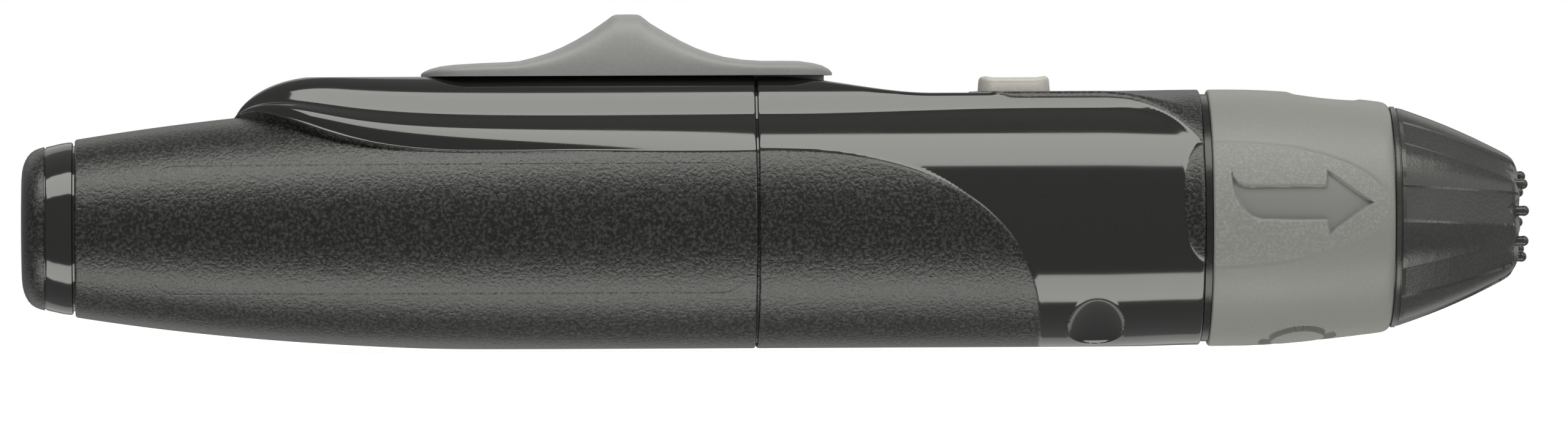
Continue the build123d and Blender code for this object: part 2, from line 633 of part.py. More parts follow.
def cap_sleeve():
    """Inner sleeve of the cap, with the thin flange seen behind the collar."""
    body = turned(
        [(X_SLEEVE, SLEEVE_BORE), (X_SLEEVE, SLEEVE_FLANGE_RADIUS),
         (X_SLEEVE + SLEEVE_FLANGE, SLEEVE_FLANGE_RADIUS), (X_SLEEVE + SLEEVE_FLANGE, SLEEVE_RADIUS),
         (X_TUBE, SLEEVE_RADIUS), (X_TUBE, SLEEVE_TUBE_RADIUS), (X_TUBE_END, SLEEVE_TUBE_RADIUS),
         (X_TUBE_END, TUBE_BORE), (X_WEB, TUBE_BORE), (X_WEB, SLEEVE_BORE)]
    )
    keyway = KEY_REACH + SLIDE_CLEAR
    body -= block(X_SLEEVE, X_WEB, KEY_HALF + SLIDE_CLEAR, -NECK_RADIUS - keyway, 0)
    return body - tube(X_CLIP, X_CLIP + CLIP_WIDTH, REACH, SLEEVE_TUBE_RADIUS - CLIP_DEPTH)


def nose_clip():
    """Spring clip that keeps the nose on the sleeve."""
    ring = tube(X_CLIP, X_CLIP + CLIP_WIDTH, SLEEVE_TUBE_RADIUS + CLIP_DEPTH, SLEEVE_TUBE_RADIUS - CLIP_DEPTH)
    return ring - block(X_CLIP, X_CLIP + CLIP_WIDTH, CLIP_GAP_HALF, -REACH, 0)


def friction_washer():
    """Washer between the collar's lip and the nose's skirt."""
    return tube(X_WASHER, X_WASHER + WASHER_THICK, NOSE_SKIRT_RADIUS, SLEEVE_TUBE_RADIUS)


def twist_collar():
    """Grey collar that turns on the sleeve."""
    start = X_COLLAR + COLLAR_STRAIGHT
    end = X_COLLAR_END - COLLAR_EDGE
    middle = (COLLAR_RADIUS + COLLAR_FRONT_RADIUS) / 2 + COLLAR_BOW
    side = ThreePointArc(
        (start, 0, COLLAR_RADIUS), ((start + end) / 2, 0, middle), (end, 0, COLLAR_FRONT_RADIUS)
    )
    rest = Polyline(
        [(end, 0, COLLAR_FRONT_RADIUS), (X_COLLAR_END, 0, COLLAR_FRONT_RADIUS - COLLAR_EDGE),
         (X_COLLAR_END, 0, COLLAR_FRONT_BORE), (X_LIP + COLLAR_LIP, 0, COLLAR_FRONT_BORE),
         (X_LIP + COLLAR_LIP, 0, COLLAR_BORE - COLLAR_LIP_REACH), (X_LIP, 0, COLLAR_BORE - COLLAR_LIP_REACH),
         (X_LIP, 0, COLLAR_BORE), (X_COLLAR, 0, COLLAR_BORE), (X_COLLAR, 0, COLLAR_RADIUS),
         (start, 0, COLLAR_RADIUS)]
    )
    return revolve(make_face([side, rest]), Axis.X)


def nose_arc(grow, before, after):
    """Meridian arc of the nose, moved outward, with its ends carried on."""
    tip = X_NOSE_END - NOSE_TIP_ROUND
    chord = math.hypot(tip - X_NOSE, NOSE_RADIUS - NOSE_TIP_RADIUS)
    radius = (chord * chord / 4 + NOSE_BOW * NOSE_BOW) / (2 * NOSE_BOW)
    slope = math.atan2(NOSE_RADIUS - NOSE_TIP_RADIUS, tip - X_NOSE)
    middle_x = (X_NOSE + tip) / 2 - (radius - NOSE_BOW) * math.sin(slope)
    middle_z = (NOSE_RADIUS + NOSE_TIP_RADIUS) / 2 - (radius - NOSE_BOW) * math.cos(slope)
    first = math.pi / 2 - slope + math.asin(chord / 2 / radius) + before / radius
    last = math.pi / 2 - slope - math.asin(chord / 2 / radius) - after / radius
    points = []
    for angle in (first, (first + last) / 2, last):
        reach = radius + grow
        points.append((middle_x + reach * math.cos(angle), 0, middle_z + reach * math.sin(angle)))
    return ThreePointArc(*points)


def nose_body():
    """Turned nose before the flutes, with its skirt and bores."""
    side = nose_arc(0, 0, 0)
    tip = X_NOSE_END - NOSE_TIP_ROUND
    rim = ThreePointArc(
        (tip, 0, NOSE_TIP_RADIUS),
        (X_NOSE_END - NOSE_LIP_SET, 0, NOSE_TIP_RADIUS - NOSE_LIP_DROP),
        (X_NOSE_END, 0, NOSE_TIP_RADIUS - NOSE_FACE_DROP),
    )
    wall = X_NOSE_END - NOSE_FRONT_WALL
    rest = Polyline(
        [(X_NOSE_END, 0, NOSE_TIP_RADIUS - NOSE_FACE_DROP), (X_NOSE_END, 0, APERTURE_RADIUS),
         (wall, 0, APERTURE_RADIUS), (wall, 0, NOSE_TIP_RADIUS - NOSE_SHELL),
         (X_TUBE_END + FREE_CLEAR, 0, NOSE_BORE - NOSE_SHELL / 2), (X_TUBE_END + FREE_CLEAR, 0, NOSE_BORE),
         (X_SKIRT, 0, NOSE_BORE), (X_SKIRT, 0, NOSE_SKIRT_RADIUS), (X_NOSE, 0, NOSE_SKIRT_RADIUS),
         (X_NOSE, 0, NOSE_RADIUS)]
    )
    return revolve(make_face([side, rim, rest]), Axis.X)


def depth_nose():
    """Fluted nose with notches and beads round its aperture."""
    nose = nose_body()
    cutter_path = nose_arc(FLUTE_CUTTER - FLUTE_DEPTH, -NOSE_RIM, NOSE_TIP_ROUND)
    plane = Plane(origin=cutter_path @ 0, z_dir=cutter_path % 0)
    flute = sweep(plane * Circle(FLUTE_CUTTER), path=cutter_path)
    notch = Location((X_NOSE_END, 0, NOSE_TIP_RADIUS), (0, NOTCH_TILT, 0)) * Cylinder(NOTCH_RADIUS, NOSE_LENGTH)
    bead = Location((0, 0, BEAD_RING)) * (
        rod(X_NOSE_END - NOSE_FRONT_WALL / 2, LENGTH - BEAD_RADIUS, BEAD_RADIUS)
        + Location((LENGTH - BEAD_RADIUS, 0, 0)) * Sphere(BEAD_RADIUS)
    )
    turns = [FLUTE_TURN + 360 * step / FLUTES for step in range(FLUTES)]
    for turn in turns:
        nose -= Rotation(turn, 0, 0) * flute
        nose -= Rotation(turn, 0, 0) * notch
    for turn in turns:
        nose += Rotation(turn, 0, 0) * bead
    nose -= rod(X_TUBE_END, X_STOP_END, STOP_RADIUS)
    clip = SLEEVE_TUBE_RADIUS + CLIP_DEPTH + SLIDE_CLEAR
    return nose - tube(X_CLIP - SLIDE_CLEAR, X_CLIP + CLIP_WIDTH + SLIDE_CLEAR, clip, APERTURE_RADIUS)


def depth_stop():
    """Ring in the nose whose slanted rear face limits how far the lancet comes forward."""
    ring = tube(X_STOP - STOP_TRAVEL, X_STOP_END, STOP_RADIUS, STOP_RADIUS - STOP_WALL)
    slant = math.degrees(math.atan2(STOP_TRAVEL, STOP_RADIUS))
    return ring - Location((X_STOP, 0, 0), (0, slant, 0)) * block(-REACH, 0, REACH, -REACH, REACH)


PIECES = {
    "rear_barrel": rear_barrel,
    "front_barrel": front_barrel,
    "end_cap": end_cap,
    "carriage_guide": carriage_guide,
    "buffer_ring": buffer_ring,
    "latch_pin": latch_pin,
    "neck_seal": neck_seal,
    "drive_spring": drive_spring,
    "return_spring": return_spring,
    "latch_spring": latch_spring,
    "thumb_slider": thumb_slider,
    "slider_carrier": slider_carrier,
    "ejector_rod": ejector_rod,
    "lancet_carriage": lancet_carriage,
    "lancet_holder": lancet_holder,
    "release_button": release_button,
    "latch_lever": latch_lever,
    "cap_sleeve": cap_sleeve,
    "nose_clip": nose_clip,
    "friction_washer": friction_washer,
    "twist_collar": twist_collar,
    "depth_nose": depth_nose,
    "depth_stop": depth_stop,
}

os.makedirs("parts", exist_ok=True)
for name, make in PIECES.items():
    shape = Location((-LENGTH / 2, 0, AXIS_HEIGHT)) * make()
    export_step(shape, f"parts/{name}.step")
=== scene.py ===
"""Looks of the lancing device: moulded skins, finishes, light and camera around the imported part."""

import logging
import math
from dataclasses import dataclass
from enum import Enum
from typing import ClassVar

import bmesh
import bpy
import numpy as np
from mathutils import Matrix, Quaternion, Vector


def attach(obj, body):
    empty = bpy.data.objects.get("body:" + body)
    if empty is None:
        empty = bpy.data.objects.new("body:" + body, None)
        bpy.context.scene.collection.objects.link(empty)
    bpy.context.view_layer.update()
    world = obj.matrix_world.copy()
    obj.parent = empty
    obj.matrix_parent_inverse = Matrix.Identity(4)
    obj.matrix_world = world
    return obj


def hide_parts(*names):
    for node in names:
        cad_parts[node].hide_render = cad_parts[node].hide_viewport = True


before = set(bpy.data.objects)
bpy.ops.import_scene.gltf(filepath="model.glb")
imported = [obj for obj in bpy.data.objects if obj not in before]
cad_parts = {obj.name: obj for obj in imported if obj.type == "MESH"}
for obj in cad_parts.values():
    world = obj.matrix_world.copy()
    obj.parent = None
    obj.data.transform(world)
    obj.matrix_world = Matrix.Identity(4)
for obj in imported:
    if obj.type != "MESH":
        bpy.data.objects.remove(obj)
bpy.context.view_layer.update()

LOG = logging.getLogger("lancing_device")
Array = np.ndarray
Socket = bpy.types.NodeSocket
Place = tuple[float, float, float]
Colour = tuple[float, float, float]
Point = tuple[float, float]
Outline = tuple[Point, ...]
Box = tuple[Place, Place]
Span = tuple[float, float, int]
Feeds = dict[str | int, Socket | float | tuple[float, ...]]
Marks = dict[str, Array | float]

MM = 0.001
LENGTH = 115.0
AXIS_HEIGHT = 9.8
ORIGIN = np.array([-LENGTH / 2, 0.0, AXIS_HEIGHT])
NO_FRAME = 9.0
OUT_OF_REACH = 1000.0
CORNER_STEPS = 9
END_ROUND: Outline = ((0.0, 0.14), (0.03, 0.07), (0.08, 0.02), (0.15, 0.0))


class Part(Enum):
    """CAD bodies that the skins ride on."""

    HOUSING = "housing"
    SLIDER = "slider"
    BUTTON = "button"
    COLLAR = "collar"
    NOSE = "nose"


class Slot(Enum):
    """Material slots of the record."""

    HOUSING = "housing_plastic"
    SLIDER = "slider_plastic"
    BUTTON = "button_plastic"
    COLLAR = "collar_plastic"
    NOSE = "nose_plastic"
    SLEEVE = "sleeve_plastic"
    INNER = "inner_plastic"
    SPRING = "spring_steel"
    SEAL = "seal_rubber"


def smoothstep(low: float, high: float, value: Array) -> Array:
    """Ease from 0 at one limit to 1 at the other."""
    share = np.clip((np.asarray(value, float) - low) / (high - low), 0.0, 1.0)
    return share * share * (3.0 - 2.0 * share)


def soft_min(first: Array, second: Array, width: float) -> Array:
    """Smaller of two values, with a change-over rounded over a width."""
    share = np.clip(0.5 + 0.5 * (second - first) / width, 0.0, 1.0)
    return second + (first - second) * share - width * share * (1.0 - share)


def wrap(turn: Array) -> Array:
    """Bring turns into the half circle on either side of the top."""
    return (turn + math.pi) % (2 * math.pi) - math.pi


def spaced(spans: tuple[Span, ...]) -> Array:
    """Evenly spaced numbers of several spans in a row, each without its end."""
    return np.concatenate([np.linspace(*span, endpoint=False) for span in spans])


def oval(along: Array, up: Array, power: float) -> Array:
    """Distance from the middle of a squarish oval, which is 1 on its edge."""
    return (along**power + up**power) ** (1.0 / power)


def flat_radius(height: Array, turn: Array, least: float = 0.3) -> Array:
    """Radius of a flat at a turn from its middle, very large where it is out of reach."""
    cosine = np.cos(turn)
    return np.where(cosine > least, height / np.maximum(cosine, least), OUT_OF_REACH)


def polygon_depth(points: Array, outline: Outline) -> Array:
    """Signed distance of points to a closed outline.

    Args:
        points: Array of shape (n, 2).
        outline: Corners of the outline, in order.

    Returns:
        Distance to the outline, positive inside it.
    """
    corners = np.array(outline)
    nearest = np.full(len(points), np.inf)
    inside = np.zeros(len(points), bool)
    for start, end in zip(corners, np.roll(corners, -1, axis=0)):
        edge = end - start
        share = np.clip(((points - start) @ edge) / (edge @ edge), 0.0, 1.0)
        away = np.linalg.norm(points - start - share[:, None] * edge, axis=1)
        nearest = np.minimum(nearest, away)
        crosses = (start[1] > points[:, 1]) != (end[1] > points[:, 1])
        rise = edge[1] if edge[1] else 1e-12
        inside ^= crosses & (points[:, 0] < start[0] + (points[:, 1] - start[1]) / rise * edge[0])
    return np.where(inside, nearest, -nearest)


def ring_points(stations: Array, turns: Array, radii: Array, drops: Array | float = 0.0) -> Array:
    """Points on rings round the barrel axis.

    Args:
        stations: Distance of each ring from the tail, shape (rings,).
        turns: Turn from the top, in radians, shape (columns,) or (rings, columns).
        radii: Radius of each ring or point, shape (rings, 1) or (rings, columns).
        drops: How far the rings' centres lie below the axis, shape (rings,) or one number.

    Returns:
        Points of shape (rings, columns, 3), in millimetres.
    """
    x, turn, radius, drop = np.broadcast_arrays(
        stations[:, None], turns, radii, np.atleast_1d(drops)[:, None]
    )
    return np.stack([x, radius * np.sin(turn), radius * np.cos(turn) - drop], axis=-1)


@dataclass
class Skin:
    """Points and faces of one mesh, in millimetres from the tail and the barrel axis."""

    points: Array
    faces: list[tuple[int, ...]]

    @classmethod
    def over(cls, grid: Array, ring: bool = False) -> "Skin":
        """Lay quads over a grid whose rows are closed loops.

        Args:
            grid: Points of shape (rows, columns, 3).
            ring: Join the last row to the first, or else close each end with one face.

        Returns:
            The closed skin.
        """
        rows, columns = grid.shape[:2]
        index = np.arange(rows * columns).reshape(rows, columns)
        ends = [tuple(index[0].tolist()), tuple(index[-1, ::-1].tolist())]
        if ring:
            index, ends = np.vstack([index, index[:1]]), []
        index = np.hstack([index, index[:, :1]])
        corners = [index[:-1, :-1], index[:-1, 1:], index[1:, 1:], index[1:, :-1]]
        quads = np.stack(corners, axis=-1).reshape(-1, 4)
        return cls(grid.reshape(-1, 3), [*map(tuple, quads.tolist()), *ends])

    @classmethod
    def box(cls, low: Place, high: Place) -> "Skin":
        """Box between its lowest and its highest corner."""
        sides = [(low[1], low[2]), (high[1], low[2]), (high[1], high[2]), (low[1], high[2])]
        return cls.over(np.array([[(x, y, z) for y, z in sides] for x in (low[0], high[0])]))

    @classmethod
    def tube(cls, rings: Array, bore: Outline, turns: Array) -> "Skin":
        """Close outer rings with a round bore, given from the last ring back to the first."""
        line = np.array(bore)
        return cls.over(np.concatenate([rings, ring_points(line[:, 0], turns, line[:, 1:])]), True)

    @classmethod
    def lathe(cls, profile: Outline, columns: int, drop: float = 0.0) -> "Skin":
        """Turn a profile round an axis.

        Args:
            profile: Stations and radii, without the points on the axis.
            columns: Points round the axis.
            drop: How far the axis lies below the barrel axis.

        Returns:
            The closed skin.
        """
        turns = np.linspace(-math.pi, math.pi, columns, endpoint=False)
        line = np.array(profile)
        return cls.over(ring_points(line[:, 0], turns, line[:, 1:], drop))

    def join(self, other: "Skin", shift: Place = (0.0, 0.0, 0.0)) -> None:
        """Take in another skin.

        Args:
            other: Skin to take in.
            shift: How far it is moved.
        """
        first = len(self.points)
        self.points = np.vstack([self.points, other.points + np.array(shift)])
        self.faces.extend(tuple(first + corner for corner in face) for face in other.faces)

    def piece(self, name: str) -> bpy.types.Object:
        """Make the Blender object, in metres in the shared frame.

        Args:
            name: Name of the object and its mesh.

        Returns:
            The object, linked to the scene, with its faces turned outward.
        """
        made = bpy.data.meshes.new(name)
        made.from_pydata(((self.points + ORIGIN) * MM).tolist(), [], self.faces)
        work = bmesh.new()
        work.from_mesh(made)
        bmesh.ops.recalc_face_normals(work, faces=work.faces)
        work.to_mesh(made)
        work.free()
        piece = bpy.data.objects.new(name, made)
        bpy.context.scene.collection.objects.link(piece)
        return piece


def rounded_plan(middle: Point, half: Point, corner: float) -> Array:
    """Rounded rectangle seen from above.

    Args:
        middle: Station of its middle, and its height.
        half: Half of its length and of its width.
        corner: Radius of its corners.

    Returns:
        Points of shape (n, 3), round the outline.
    """
    points = []
    for quarter, (ahead, aside) in enumerate(((1, 1), (-1, 1), (-1, -1), (1, -1))):
        for angle in np.linspace(quarter, quarter + 1, CORNER_STEPS) * math.pi / 2:
            x = middle[0] + ahead * (half[0] - corner) + corner * math.cos(angle)
            y = aside * (half[1] - corner) + corner * math.sin(angle)
            points.append((x, y, middle[1]))
    return np.array(points)


def carve(piece: bpy.types.Object, cutters: list[Skin]) -> None:
    """Cut closed shapes out of a piece for good.

    Args:
        piece: Piece to cut.
        cutters: Shapes to take away, one after another.
    """
    tools = [cutter.piece(f"cutter_{number}") for number, cutter in enumerate(cutters)]
    for tool in tools:
        cut = piece.modifiers.new(tool.name, "BOOLEAN")
        cut.operation = "DIFFERENCE"
        cut.solver = "MANIFOLD"
        cut.object = tool
    graph = bpy.context.evaluated_depsgraph_get()
    done = bpy.data.meshes.new_from_object(piece.evaluated_get(graph))
    piece.modifiers.clear()
    piece.data = done
    for tool in tools:
        bpy.data.objects.remove(tool)


class NodeBoard:
    """Nodes of one material or world, joined step by step."""

    def __init__(self, owner: bpy.types.Material | bpy.types.World) -> None:
        """Start on the nodes of a material or world.

        Args:
            owner: Material or world.
        """
        owner.use_nodes = True
        self.owner = owner
        self.tree = owner.node_tree

    def feed(self, node: bpy.types.Node, feeds: Feeds) -> None:
        """Join sockets to a node's inputs, or set constants on them.

        Args:
            node: Node that takes them.
            feeds: Socket or constant for each input, by its name or number.
        """
        for key, value in feeds.items():
            if isinstance(value, Socket):
                self.tree.links.new(value, node.inputs[key])
            else:
                node.inputs[key].default_value = value

    def add(self, kind: str, feeds: Feeds | None = None, **settings: str | bool) -> bpy.types.Node:
        """Add a node.

        Args:
            kind: Type of the node.
            feeds: Socket or constant for each input, by its name or number.
            **settings: Properties of the node.

        Returns:
            The new node.
        """
        node = self.tree.nodes.new(kind)
        for key, value in settings.items():
            setattr(node, key, value)
        self.feed(node, feeds or {})
        return node

    def seen(self) -> Socket:
        """Give 1 to rays from the camera and 0 to all others."""
        return self.add("ShaderNodeLightPath").outputs["Is Camera Ray"]


class FinishBoard(NodeBoard):
    """Nodes of one finish in the piece's own space."""

    def __init__(self, name: str) -> None:
        """Start a material by its name."""
        super().__init__(bpy.data.materials.new(name))
        self.place = self.add("ShaderNodeTexCoord").outputs["Object"]

    def dress(self, feeds: Feeds) -> bpy.types.Material:
        """Feed the main shader and give the finished material."""
        self.feed(self.tree.nodes["Principled BSDF"], feeds)
        return self.owner

    def noise(self, scale: float, detail: float = 2.0, rough: float = 0.5) -> Socket:
        """Cloudy pattern from 0 to 1, with so many cells to a metre."""
        feeds = {"Vector": self.place, "Scale": scale, "Detail": detail, "Roughness": rough}
        return self.add("ShaderNodeTexNoise", feeds).outputs["Fac"]

    def mark(self, name: str) -> Socket:
        """Number stored on the vertices."""
        return self.add("ShaderNodeAttribute", attribute_name=name).outputs["Fac"]

    def span(self, value: Socket, given: Point, wanted: Point = (0.0, 1.0)) -> Socket:
        """Carry a value from one range to another.

        Args:
            value: Value to carry over.
            given: Range that it comes in.
            wanted: Range that it goes to.

        Returns:
            The carried value, clamped.
        """
        names = ("From Min", "From Max", "To Min", "To Max")
        feeds = {"Value": value, **dict(zip(names, (*given, *wanted)))}
        return self.add("ShaderNodeMapRange", feeds, clamp=True).outputs["Result"]

    def math(self, kind: str, first: Socket, second: Socket | float) -> Socket:
        """Work out a sum of a value and another value or number."""
        return self.add("ShaderNodeMath", {0: first, 1: second}, operation=kind).outputs[0]

    def level(self, share: Socket, first: Socket, second: Socket) -> Socket:
        """Mix two numbers."""
        feeds = {"Factor": share, 2: first, 3: second}
        return self.add("ShaderNodeMix", feeds, data_type="FLOAT").outputs[0]

    def blend(self, share: Socket, *colours: Socket | Colour) -> Socket:
        """Mix two colours.

        Args:
            share: 0 gives the first colour and 1 the second.
            *colours: The two colours.

        Returns:
            The mixed colour.
        """
        first, second = ((*each, 1.0) if isinstance(each, tuple) else each for each in colours)
        feeds = {"Factor": share, 6: first, 7: second}
        return self.add("ShaderNodeMix", feeds, data_type="RGBA").outputs[2]

    def bump(self, height: Socket, reach: float, under: Socket | None = None) -> Socket:
        """Turn a height into a tilted normal.

        Args:
            height: Height from 0 to 1.
            reach: Real height in metres.
            under: Normal that this one is laid on.

        Returns:
            The tilted normal.
        """
        feeds = {"Height": height, "Distance": reach, "Strength": 1.0}
        if under is not None:
            feeds["Normal"] = under
        return self.add("ShaderNodeBump", feeds).outputs["Normal"]


@dataclass(frozen=True)
class Plastic:
    """Moulded plastic of one colour, with a faint cloud in its tone and a fine grain."""

    name: str
    tone: Colour
    fleck: Colour
    rough: Point
    grain: float = 2600.0
    grain_height: float = 0.000012
    cloud: float = 120.0
    fleck_range: Point = (0.1, 0.4)
    rough_range: Point = (0.3, 0.7)
    glow: float = 0.0
    glow_depth: float = 0.001
    glow_tint: Colour = (1.0, 0.9, 0.75)

    def material(self) -> bpy.types.Material:
        """Make the material.

        Returns:
            The finished material.
        """
        board = FinishBoard(self.name)
        grain = board.noise(self.grain, 3.0, 0.6)
        share = board.math("MULTIPLY", grain, board.noise(self.cloud))
        feeds = {
            "Base Color": board.blend(board.span(share, self.fleck_range), self.tone, self.fleck),
            "Roughness": board.span(grain, self.rough_range, self.rough),
            "Normal": board.bump(grain, self.grain_height),
        }
        if self.glow:
            feeds["Subsurface Weight"] = self.glow
            feeds["Subsurface Scale"] = self.glow_depth
            feeds["Subsurface Radius"] = self.glow_tint
        return board.dress(feeds)


@dataclass(frozen=True)
class ShellFinish:
    """Two grounds: smooth where the mould is polished, spark grain where it is gripped."""

    name: str
    polish: tuple[Colour, Colour]
    grip: tuple[Colour, Colour]
    polish_rough: Point = (0.08, 0.12)
    grip_rough: Point = (0.22, 0.34)
    grain: float = 4000.0
    grain_height: float = 0.00006
    peel: float = 420.0
    peel_height: float = 0.000001
    cloud: float = 150.0
    dust: float = 9000.0
    polish_flecks: Point = (0.45, 0.75)
    grip_flecks: Point = (0.45, 0.66)
    rough_range: Point = (0.3, 0.7)
    edge: Point = (-0.05, 0.05)
    line: float = 0.07
    line_depth: float = 0.000012
    lacquer: float = 0.0
    lacquer_rough: float = 0.06
    ior: float = 1.5
    # Darker tone painted as shade on the floor of a sunk mark, or none.
    floor: Colour | None = None
    recess_shade_edge: Point = (-0.05, 0.12)

    def material(self) -> bpy.types.Material:
        """Make the material, which reads the grip and frame marks, and the sunk mark that paints
        shade on a recess's floor.

        Returns:
            The finished material.
        """
        board = FinishBoard(self.name)
        grip = board.span(board.mark("grip"), self.edge)
        grain = board.noise(self.grain, 3.0, 0.62)
        dust = board.span(board.noise(self.dust, 1.0), self.polish_flecks)
        polished = board.blend(dust, *self.polish)
        gripped = board.blend(board.span(grain, self.grip_flecks), *self.grip)
        tone = board.blend(grip, polished, gripped)
        # Painted shade: the sunk arrow's floor takes a darker tone, though it is the same plastic as
        # the rest.
        if self.floor is not None:
            tone = board.blend(board.span(board.mark("sunk"), self.recess_shade_edge), tone, self.floor)
        smooth = board.span(board.noise(self.cloud), self.rough_range, self.polish_rough)
        rough = board.span(grain, self.rough_range, self.grip_rough)
        peeled = board.bump(board.noise(self.peel), self.peel_height)
        grained = board.bump(board.math("MULTIPLY", grain, grip), self.grain_height, peeled)
        groove = board.span(board.math("ABSOLUTE", board.mark("frame"), 0.0), (0.0, self.line))
        feeds = {
            "Base Color": tone,
            "Roughness": board.level(grip, smooth, rough),
            "IOR": self.ior,
            "Normal": board.bump(groove, self.line_depth, grained),
        }
        if self.lacquer:
            feeds["Coat Weight"] = board.span(grip, (0.0, 1.0), (self.lacquer, 0.0))
            feeds["Coat Roughness"] = self.lacquer_rough
        return board.dress(feeds)


@dataclass(frozen=True)
class Metal:
    """Drawn spring wire."""

    name: str
    tone: Colour
    fleck: Colour
    rough: Point = (0.22, 0.34)
    streak: float = 1800.0
    fleck_range: Point = (0.35, 0.7)
    rough_range: Point = (0.3, 0.7)

    def material(self) -> bpy.types.Material:
        """Make the material.

        Returns:
            The finished material.
        """
        board = FinishBoard(self.name)
        streak = board.noise(self.streak, 3.0)
        return board.dress({
            "Metallic": 1.0,
            "Base Color": board.blend(board.span(streak, self.fleck_range), self.tone, self.fleck),
            "Roughness": board.span(streak, self.rough_range, self.rough),
        })


SHELL = ShellFinish(
    "housing_black",
    polish=((0.0095, 0.0105, 0.009), (0.014, 0.0148, 0.0132)),
    grip=((0.006, 0.0066, 0.0056), (0.045, 0.0465, 0.0432)),
    lacquer=0.5,
    ior=1.58,
)
COLLAR = ShellFinish(
    "collar_grey",
    polish=((0.226, 0.226, 0.215), (0.256, 0.256, 0.244)),
    grip=((0.222, 0.222, 0.213), (0.282, 0.282, 0.27)),
    polish_rough=(0.42, 0.5),
    grip_rough=(0.46, 0.58),
    grain=4600.0,
    grain_height=0.00004,
    peel_height=0.000003,
    # Painted shade in the sunk arrow, darker than the collar's own grey.
    floor=(0.2, 0.2, 0.196),
)
SLIDER = Plastic(
    "slider_grey", (0.255, 0.254, 0.256), (0.287, 0.286, 0.287), (0.42, 0.52), 4200.0, 0.00001
)
BUTTON = Plastic(
    "button_grey", (0.45, 0.433, 0.405), (0.5, 0.484, 0.455), (0.35, 0.45),
    grain_height=0.00001, glow=0.3,
)
NOSE = Plastic(
    "nose_satin", (0.032, 0.033, 0.031), (0.056, 0.057, 0.0545), (0.19, 0.26), 4600.0, 0.000014
)
SLEEVE = Plastic(
    "sleeve_black", (0.012, 0.012, 0.012), (0.02, 0.02, 0.019), (0.18, 0.26), grain_height=0.000006
)
INNER = Plastic("inner_white", (0.5, 0.5, 0.48), (0.58, 0.58, 0.56), (0.35, 0.45))
SEAL = Plastic("seal_black", (0.02, 0.02, 0.02), (0.03, 0.03, 0.03), (0.55, 0.7))
SPRING = Metal("spring_wire", (0.5, 0.5, 0.49), (0.66, 0.66, 0.65))


@dataclass(frozen=True)
class Seat:
    """Where a finished piece belongs."""

    part: Part
    slot: Slot
    nodes: tuple[str, ...]


class Moulding:
    """One moulded piece that takes the place of its CAD node."""

    seat: ClassVar[Seat]
    crease: ClassVar[float] = 32.0

    def skin(self) -> Skin:
        """Closed skin before the cuts."""
        raise NotImplementedError

    def cutters(self) -> list[Skin]:
        """Shapes to cut out of the skin."""
        return []

    def marks(self, x: Array, y: Array, height: Array) -> Marks:
        """Numbers on the vertices for the finish to read."""
        return {}

    def build(self, material: bpy.types.Material) -> bpy.types.Object:
        """Make the piece, dress it and let it ride on its body.

        Args:
            material: Finish of the piece.

        Returns:
            The piece in its place at rest.
        """
        seat = self.seat
        piece = self.skin().piece(f"{seat.nodes[0]}_skin")
        cutters = self.cutters()
        if cutters:
            carve(piece, cutters)
        mesh = piece.data
        flat = np.zeros(len(mesh.vertices) * 3)
        mesh.vertices.foreach_get("co", flat)
        places = flat.reshape(-1, 3) / MM - ORIGIN
        for name, values in self.marks(*places.T).items():
            marks = mesh.attributes.new(name, "FLOAT", "POINT")
            marks.data.foreach_set("value", np.full(len(places), values, np.float32))
        mesh.materials.clear()
        mesh.materials.append(material)
        mesh.shade_smooth()
        mesh.set_sharp_from_angle(angle=math.radians(self.crease))
        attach(piece, seat.part.value)
        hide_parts(*seat.nodes)
        return piece


